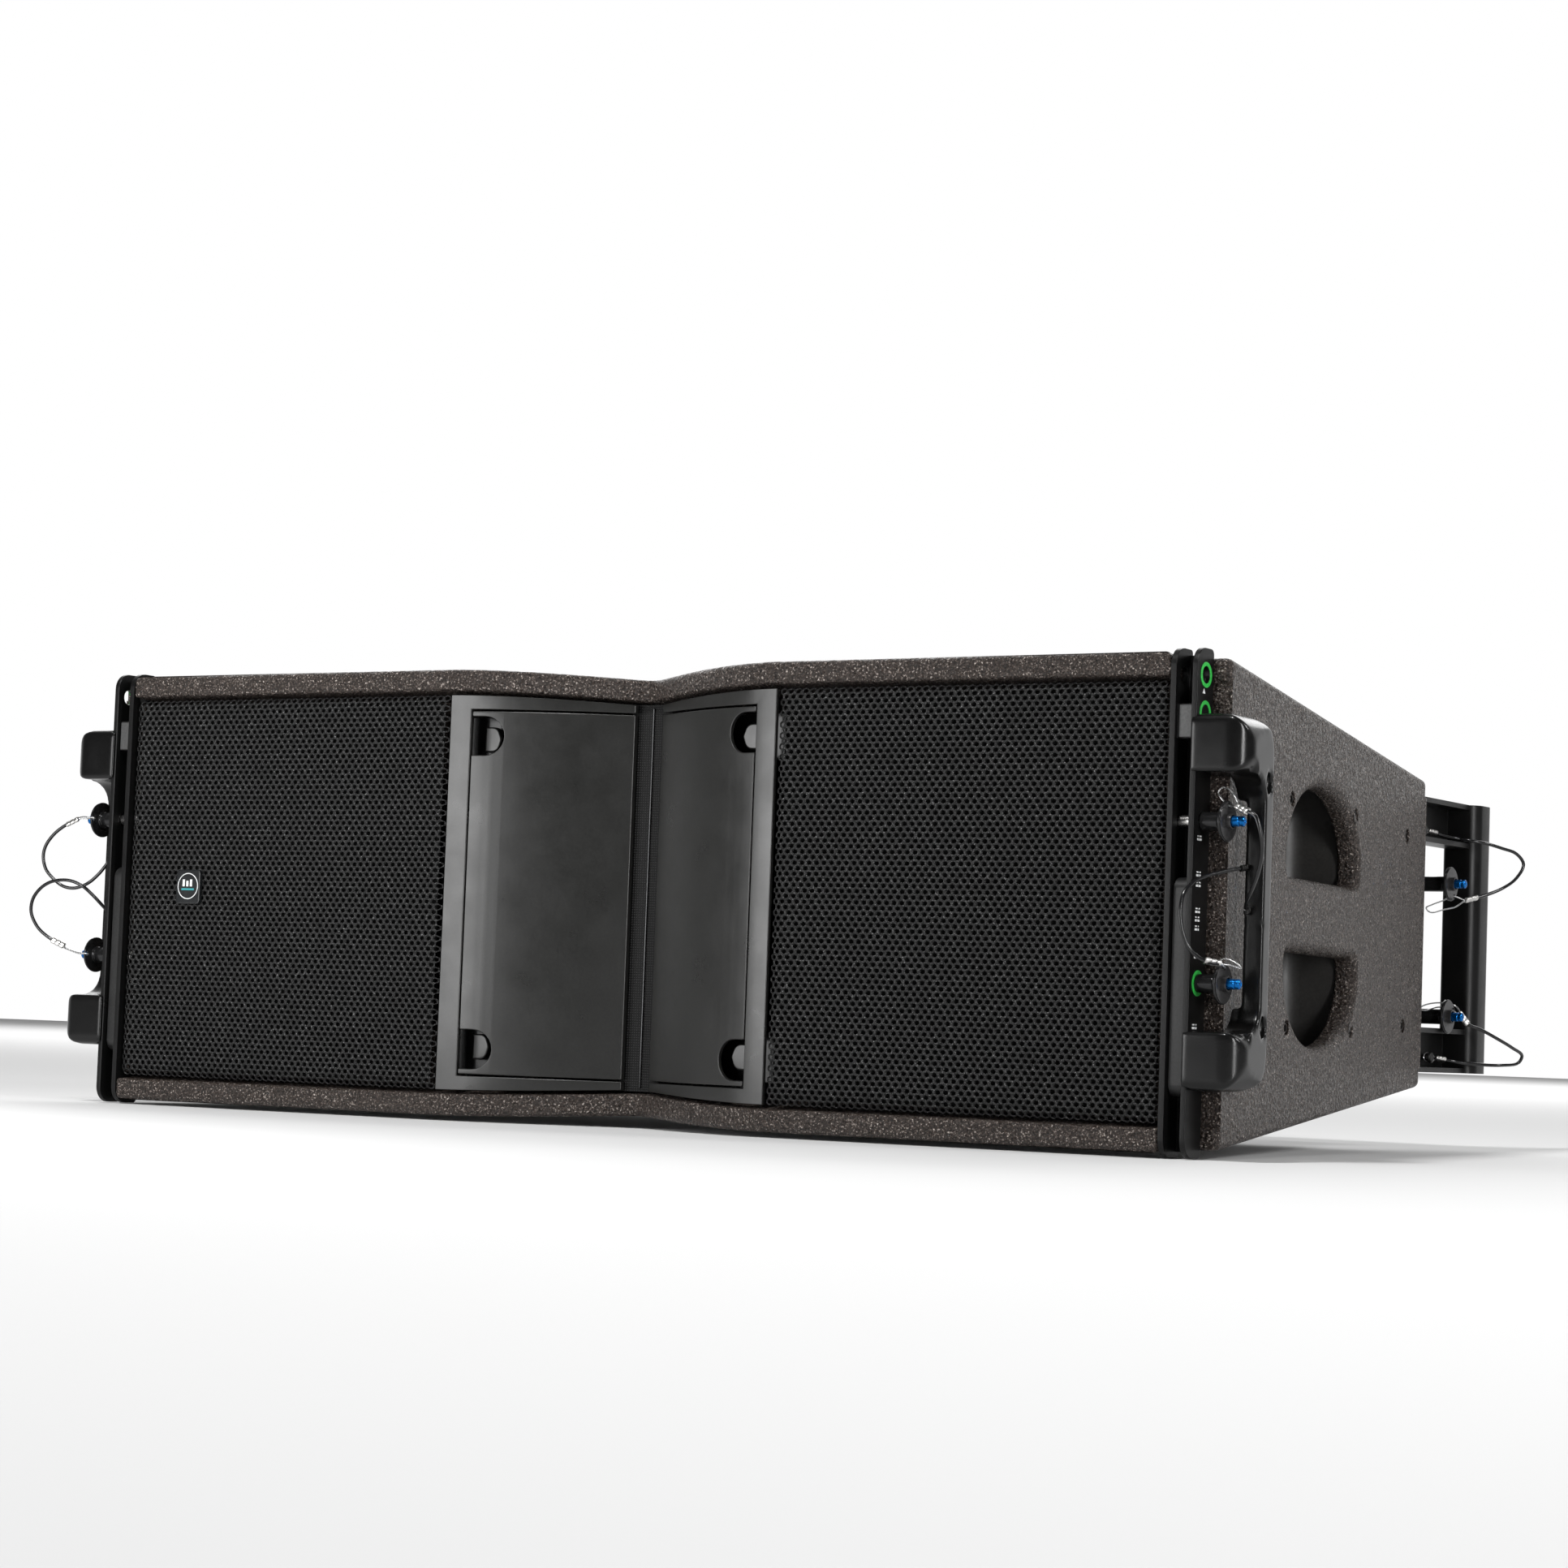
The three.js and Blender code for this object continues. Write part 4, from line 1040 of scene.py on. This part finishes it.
def rig_plate():
    """The outer rigging plate with rounded front corners and its pin and link holes."""
    low, high = span("outer_plate_right")
    outline = filleted([(low.y, low.z), (high.y, low.z), (high.y, high.z), (low.y, high.z)],
                       [9, 3, 3, 9], 8)
    holes = [circle(PIN_Y, z, 3.7) for z in PIN_Z] + [circle(PIN_Y, LINK_HOLE_Z, 4.3)]
    return plate(outline, low.x, high.x, "X", 0.45, holes)


def hole_rings(x, centres):
    """Coloured rings round holes in the outer plate."""
    profile = counted_from(x, [(0, 4.4), (0.25, 4.4), (0.35, 4.7), (0.35, 6.05), (0.25, 6.35),
                               (0, 6.35)])
    return join(*[lathe_ring(profile, "X", centre) for centre in centres])


def plain_marks(x):
    """Small unlettered marks printed on the outer plate: rows of short dashes."""
    marks = []
    for z, widths in ((12.4, (2.6, 1.8)), (7.4, (2.2, 2.4)), (-5.4, (2.8, 1.8)), (-9.6, (2.0, 2.4)),
                      (-14.0, (2.6, 1.4)), (30, (1.4, 3.0)), (-27.6, (1.8, 1.4)), (-62, (3.0, 1.6))):
        y = 4.6
        for width in widths:
            marks.append(box(x, x + 0.1, y, y + width, z, z + 1.1, 0.04))
            marks.append(box(x, x + 0.1, y + 0.3, y + width - 0.2, z + 1.8, z + 2.5, 0.04))
            y += width + 0.7
    arrow = plate([(5.8, 102.2), (9.0, 102.2), (7.4, 104.8)], x, x + 0.1, "X", 0.03)
    return join(*marks, arrow)


for side in SIDES:
    softened("rigging_channel_" + side, POWDER, "cabinet", 0.4)
    side_piece("outer_rig_plate", side, rig_plate(), POWDER, METAL_SLOT, "outer_plate")
    plate_face = span("outer_plate_right")[1].x
    rings = hole_rings(plate_face, [(PIN_Y, LINK_HOLE_Z), (PIN_Y, UPPER_RING_Z), (PIN_Y, PIN_Z[1])])
    side_piece("hole_rings", side, rings, GREEN, METAL_SLOT)
    side_piece("plate_marks", side, plain_marks(plate_face), WHITE, METAL_SLOT)
    softened("link_arm_" + side, DARK_STEEL, "link_arm_" + side, 0.6)
    stop = box(337.4, 344.6, 2.4, 14.6, 80.4, 96.4, 0.5)
    side_piece("stop_block", side, stop, STOP_GREY, "zinc_steel")


def cut(thing, cutter):
    """Cuts a piece with another, which is then removed."""
    modifier = thing.modifiers.new("cut", "BOOLEAN")
    modifier.operation = "DIFFERENCE"
    modifier.solver = "EXACT"
    modifier.object = cutter
    apply_modifiers(thing)
    bpy.data.objects.remove(cutter)


def apply_modifiers(thing):
    bpy.context.view_layer.update()
    made = bpy.data.meshes.new_from_object(thing.evaluated_get(bpy.context.evaluated_depsgraph_get()))
    thing.modifiers.clear()
    thing.data = made


def moulded_copy(name, source, cutters, voxel, passes):
    """A remeshed and smoothed copy of a CAD node, with cutters taken out of it first."""
    thing = add_object(name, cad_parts[source].data.copy())
    for cutter in cutters:
        mesh = shaped_mesh("cutter", cutter)
        face_outwards(mesh)
        cut(thing, add_object("cutter", mesh))
    remesh = thing.modifiers.new("remesh", "REMESH")
    remesh.mode = "VOXEL"
    remesh.voxel_size = voxel * MM
    smooth = thing.modifiers.new("smooth", "SMOOTH")
    smooth.factor = 0.5
    smooth.iterations = passes
    thin = thing.modifiers.new("thin", "DECIMATE")
    thin.ratio = 0.45
    apply_modifiers(thing)
    return thing


HANDLE_SCREW_Z = 60
HANDLE_SCREW_Y = 33
HANDLE_SCREW_X = 366.4          # the floor of its counterbore


def outside_corner(x, z, radius, way, low, high):
    """What lies outside a rounded outer corner; way is -1 where the part is below the corner."""
    outline = [(x + 1, z - way), (x - radius, z - way),
               *arc(x - radius, z + way * radius, radius, -way * 90, 0, 8), (x + 1, z + way * radius)]
    return plate(outline, low, high, "Y", 0.05)


def front_handle():
    """The right-hand handle: its blocks' corners, screw counterbores and a seam are cut in."""
    low, high = span("front_handle_right")
    bores = [turned([(high.x - 7.5, 0), (high.x - 7.5, 5.2), (high.x + 3, 5.2), (high.x + 3, 0)], "X",
                    (HANDLE_SCREW_Y, sign * HANDLE_SCREW_Z), 32) for sign in (1, -1)]
    seam = box(355, 390, 25.5, 28.6, -10.8, -9.2, 0.05)
    corners = [outside_corner(high.x, sign * z, radius, way * sign, low.y - 3, rear)
               for sign in (1, -1)
               for z, radius, way, rear in ((high.z, 14, -1, high.y + 3), (63, 9, 1, 12.4))]
    return moulded_copy("handle_mould_right", "front_handle_right", [*bores, seam, *corners], 0.85, 18)


def add_front_handles():
    """Both handles; the left one is the right one's mirror image."""
    right = front_handle()
    left = add_object("handle_mould_left", right.data.copy())
    left.data.transform(Matrix.Scale(-1, 4, Vector((1, 0, 0))))
    for side, thing in (("right", right), ("left", left)):
        finish_mesh(thing.data, MOULDED)
        settle(thing, "cabinet", ["front_handle_" + side])
        places = [(HANDLE_SCREW_Y, sign * HANDLE_SCREW_Z, HANDLE_SCREW_X) for sign in (1, -1)]
        side_piece("handle_screws", side, moved(screws_at(places, 4.3, 3.0), along("X")), BLACK_SCREW,
                   METAL_SLOT)


add_front_handles()


# ---- Quick-release pins
FLANGE_RADIUS = 10.2
COLLAR_LENGTH = 4
BALL_RADIUS = 1.1
BARREL_START = {"front": 348.8, "rear": 286.6}


def add_pin(place_name, side):
    """Shank with locking balls, black barrel, flange with a grey face, and blue button."""
    pin = f"{place_name}_pin_{side}"
    button = f"{place_name}_button_{side}"
    low, high = span(pin)
    tip, end = (low.x, high.x) if SIDES[side] > 0 else (-high.x, -low.x)
    y, z = (low.y + high.y) / 2, (low.z + high.z) / 2
    flange = end - COLLAR_LENGTH
    barrel = BARREL_START[place_name.split("_")[0]]
    shank = turned(soft_profile([(tip, 0), (tip, 1.9), (tip + 1.4, 3.1), (barrel + 1, 3.1),
                                 (barrel + 1, 0)], 0.3), "X", (y, z))
    ball = turned([(-BALL_RADIUS * math.cos(a), BALL_RADIUS * math.sin(a))
                   for a in (math.pi * i / 8 for i in range(9))], "X", (0, 0), 12)
    balls = [moved(ball, lambda p, lift=lift: p + Vector((tip + 2.7, y, z + lift))) for lift in (2.4, -2.4)]
    piece(f"{pin}_shank", for_side(join(shank, *balls), side), STEEL, pin, "pin_steel", [pin])
    neck = counted_from(flange, [(-3.2, 4.6), (-2.6, 4), (-1.4, 4), (-0.9, 4.9), (0.1, 4.9), (0.1, 0)])
    body = turned(soft_profile([(barrel, 0), (barrel, 4.6), *neck], 0.3), "X", (y, z))
    first = LANYARDS[f"{place_name}_{side}"][1][0]
    lean = Vector((first[1] - y, first[2] - z)).normalized() * 8.0
    holes = [circle(y + lean.x, z + lean.y, 1.3, 16), circle(y, z, 3.0, 32)]
    disc = plate(circle(y, z, FLANGE_RADIUS, 56), flange, flange + 1.2, "X", 0.35, holes, [0.2, 0.1])
    piece(f"{pin}_body", for_side(join(body, disc), side), BLACK_ANODISED, pin, "pin_steel")
    face = plate(circle(y, z, FLANGE_RADIUS - 0.6, 56), flange + 1.25, flange + 1.65, "X", 0.15, holes)
    collar = lathe_ring(counted_from(flange, [(1.2, 3.1), (3.6, 3.1), (4, 3.3), (4, 3.8), (3.6, 4),
                                              (1.2, 4)]), "X", (y, z), 32)
    piece(f"{pin}_face", for_side(join(face, collar), side), FLANGE_FACE, pin, "pin_steel")
    knob = counted_from(flange, [(2.9, 0), (2.9, 2.6), (7.2, 2.6), (7.5, 2.25), (7.9, 2.25), (8.2, 2.6),
                                 (9.8, 2.5), (10.4, 1.6), (10.4, 0.9), (9.9, 0.7), (9.9, 0)])
    knob = turned(soft_profile(knob, 0.25), "X", (y, z))
    piece(f"{button}_knob", for_side(knob, side), BLUE, button, "blue_anodised", [button])


for place_name in PLACES:
    for side in SIDES:
        add_pin(place_name, side)

# ---- Rear rigging
for side in SIDES:
    softened("rear_bracket_" + side, POWDER, "cabinet", 0.4)
    softened("rear_arm_" + side, DARK_STEEL, "rear_arm_" + side, 0.6)
    softened("rear_handle_" + side, POWDER, "cabinet", 1.1, 3)
    heads = moved(screws_at([(402, 67, BRACKET_FACE_X), (402, -67, BRACKET_FACE_X)], 5.2, 3.0), along("X"))
    side_piece("rear_handle_screws", side, heads, BLACK_SCREW, METAL_SLOT)

# ---- Pieces inside the box
INNER = {"woofer_right": CAST, "woofer_left": CAST, "compression_driver": CAST, "crossover_board": BOARD,
         "front_baffle_right": COATING, "front_baffle_left": COATING, "waveguide_body": MOULDED}
for node_name, finish in INNER.items():
    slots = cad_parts[node_name].data.materials
    slots.clear()
    slots.append(finish)


# ---- Studio
def add_light(name, where, target, size, power):
    """A rectangular light of so many watts, turned to a target."""
    data = bpy.data.lights.new(name, "AREA")
    data.shape = "RECTANGLE"
    data.size, data.size_y = size
    data.energy = power
    lamp = add_object(name, data)
    lamp.location = where
    lamp.rotation_euler = (Vector(target) - Vector(where)).to_track_quat("-Z", "Y").to_euler()


def add_world():
    """White behind the object and dim all round, as between a backdrop and a dark room."""
    world = bpy.data.worlds.new("studio")
    world.use_nodes = True
    tree = world.node_tree
    where = tree.nodes.new("ShaderNodeTexCoord")
    facing = tree.nodes.new("ShaderNodeVectorMath")
    facing.operation = "DOT_PRODUCT"
    facing.inputs[1].default_value = (-0.52, 0.85, 0.07)
    shade = tree.nodes.new("ShaderNodeMapRange")
    shade.interpolation_type = "SMOOTHSTEP"
    for socket, value in (("From Min", 0.1), ("From Max", 0.92), ("To Min", 0.07), ("To Max", 1.0)):
        shade.inputs[socket].default_value = value
    tree.links.new(where.outputs["Generated"], facing.inputs[0])
    tree.links.new(facing.outputs["Value"], shade.inputs["Value"])
    tree.links.new(shade.outputs["Result"], tree.nodes["Background"].inputs["Color"])
    bpy.context.scene.world = world


FLOOR_REACH = 12
FLOOR_GAP = 0.0005


def add_studio():
    """A pale floor, its surroundings and five lights."""
    mesh = bpy.data.meshes.new("floor")
    mesh.from_pydata([(x * FLOOR_REACH, y * FLOOR_REACH, -FLOOR_GAP)
                      for x, y in ((-1, -1), (1, -1), (1, 1), (-1, 1))], [], [(0, 1, 2, 3)])
    floor_paint, _ = new_material("floor_paint", 0.62, 0.9)
    mesh.materials.append(floor_paint)
    add_object("floor", mesh)
    add_world()
    centre = (0, 0, 0.12)
    add_light("key", (-0.37, -0.93, 0.205), (-0.09, -0.2, 0.13), (0.52, 0.36), 4.5)
    add_light("strip", (2.3, -1.35, 0.4), centre, (0.22, 1.3), 34)
    add_light("top", (0.1, -1.5, 2.1), centre, (0.3, 0.3), 46)
    add_light("side", (2.2, 0.35, 1.3), centre, (0.4, 0.4), 18)
    add_light("backdrop", (-2.6, 5.0, 3.1), (-2.6, 5.0, 0), (7, 5), 330)
    bpy.context.scene.view_settings.view_transform = "Standard"


add_studio()
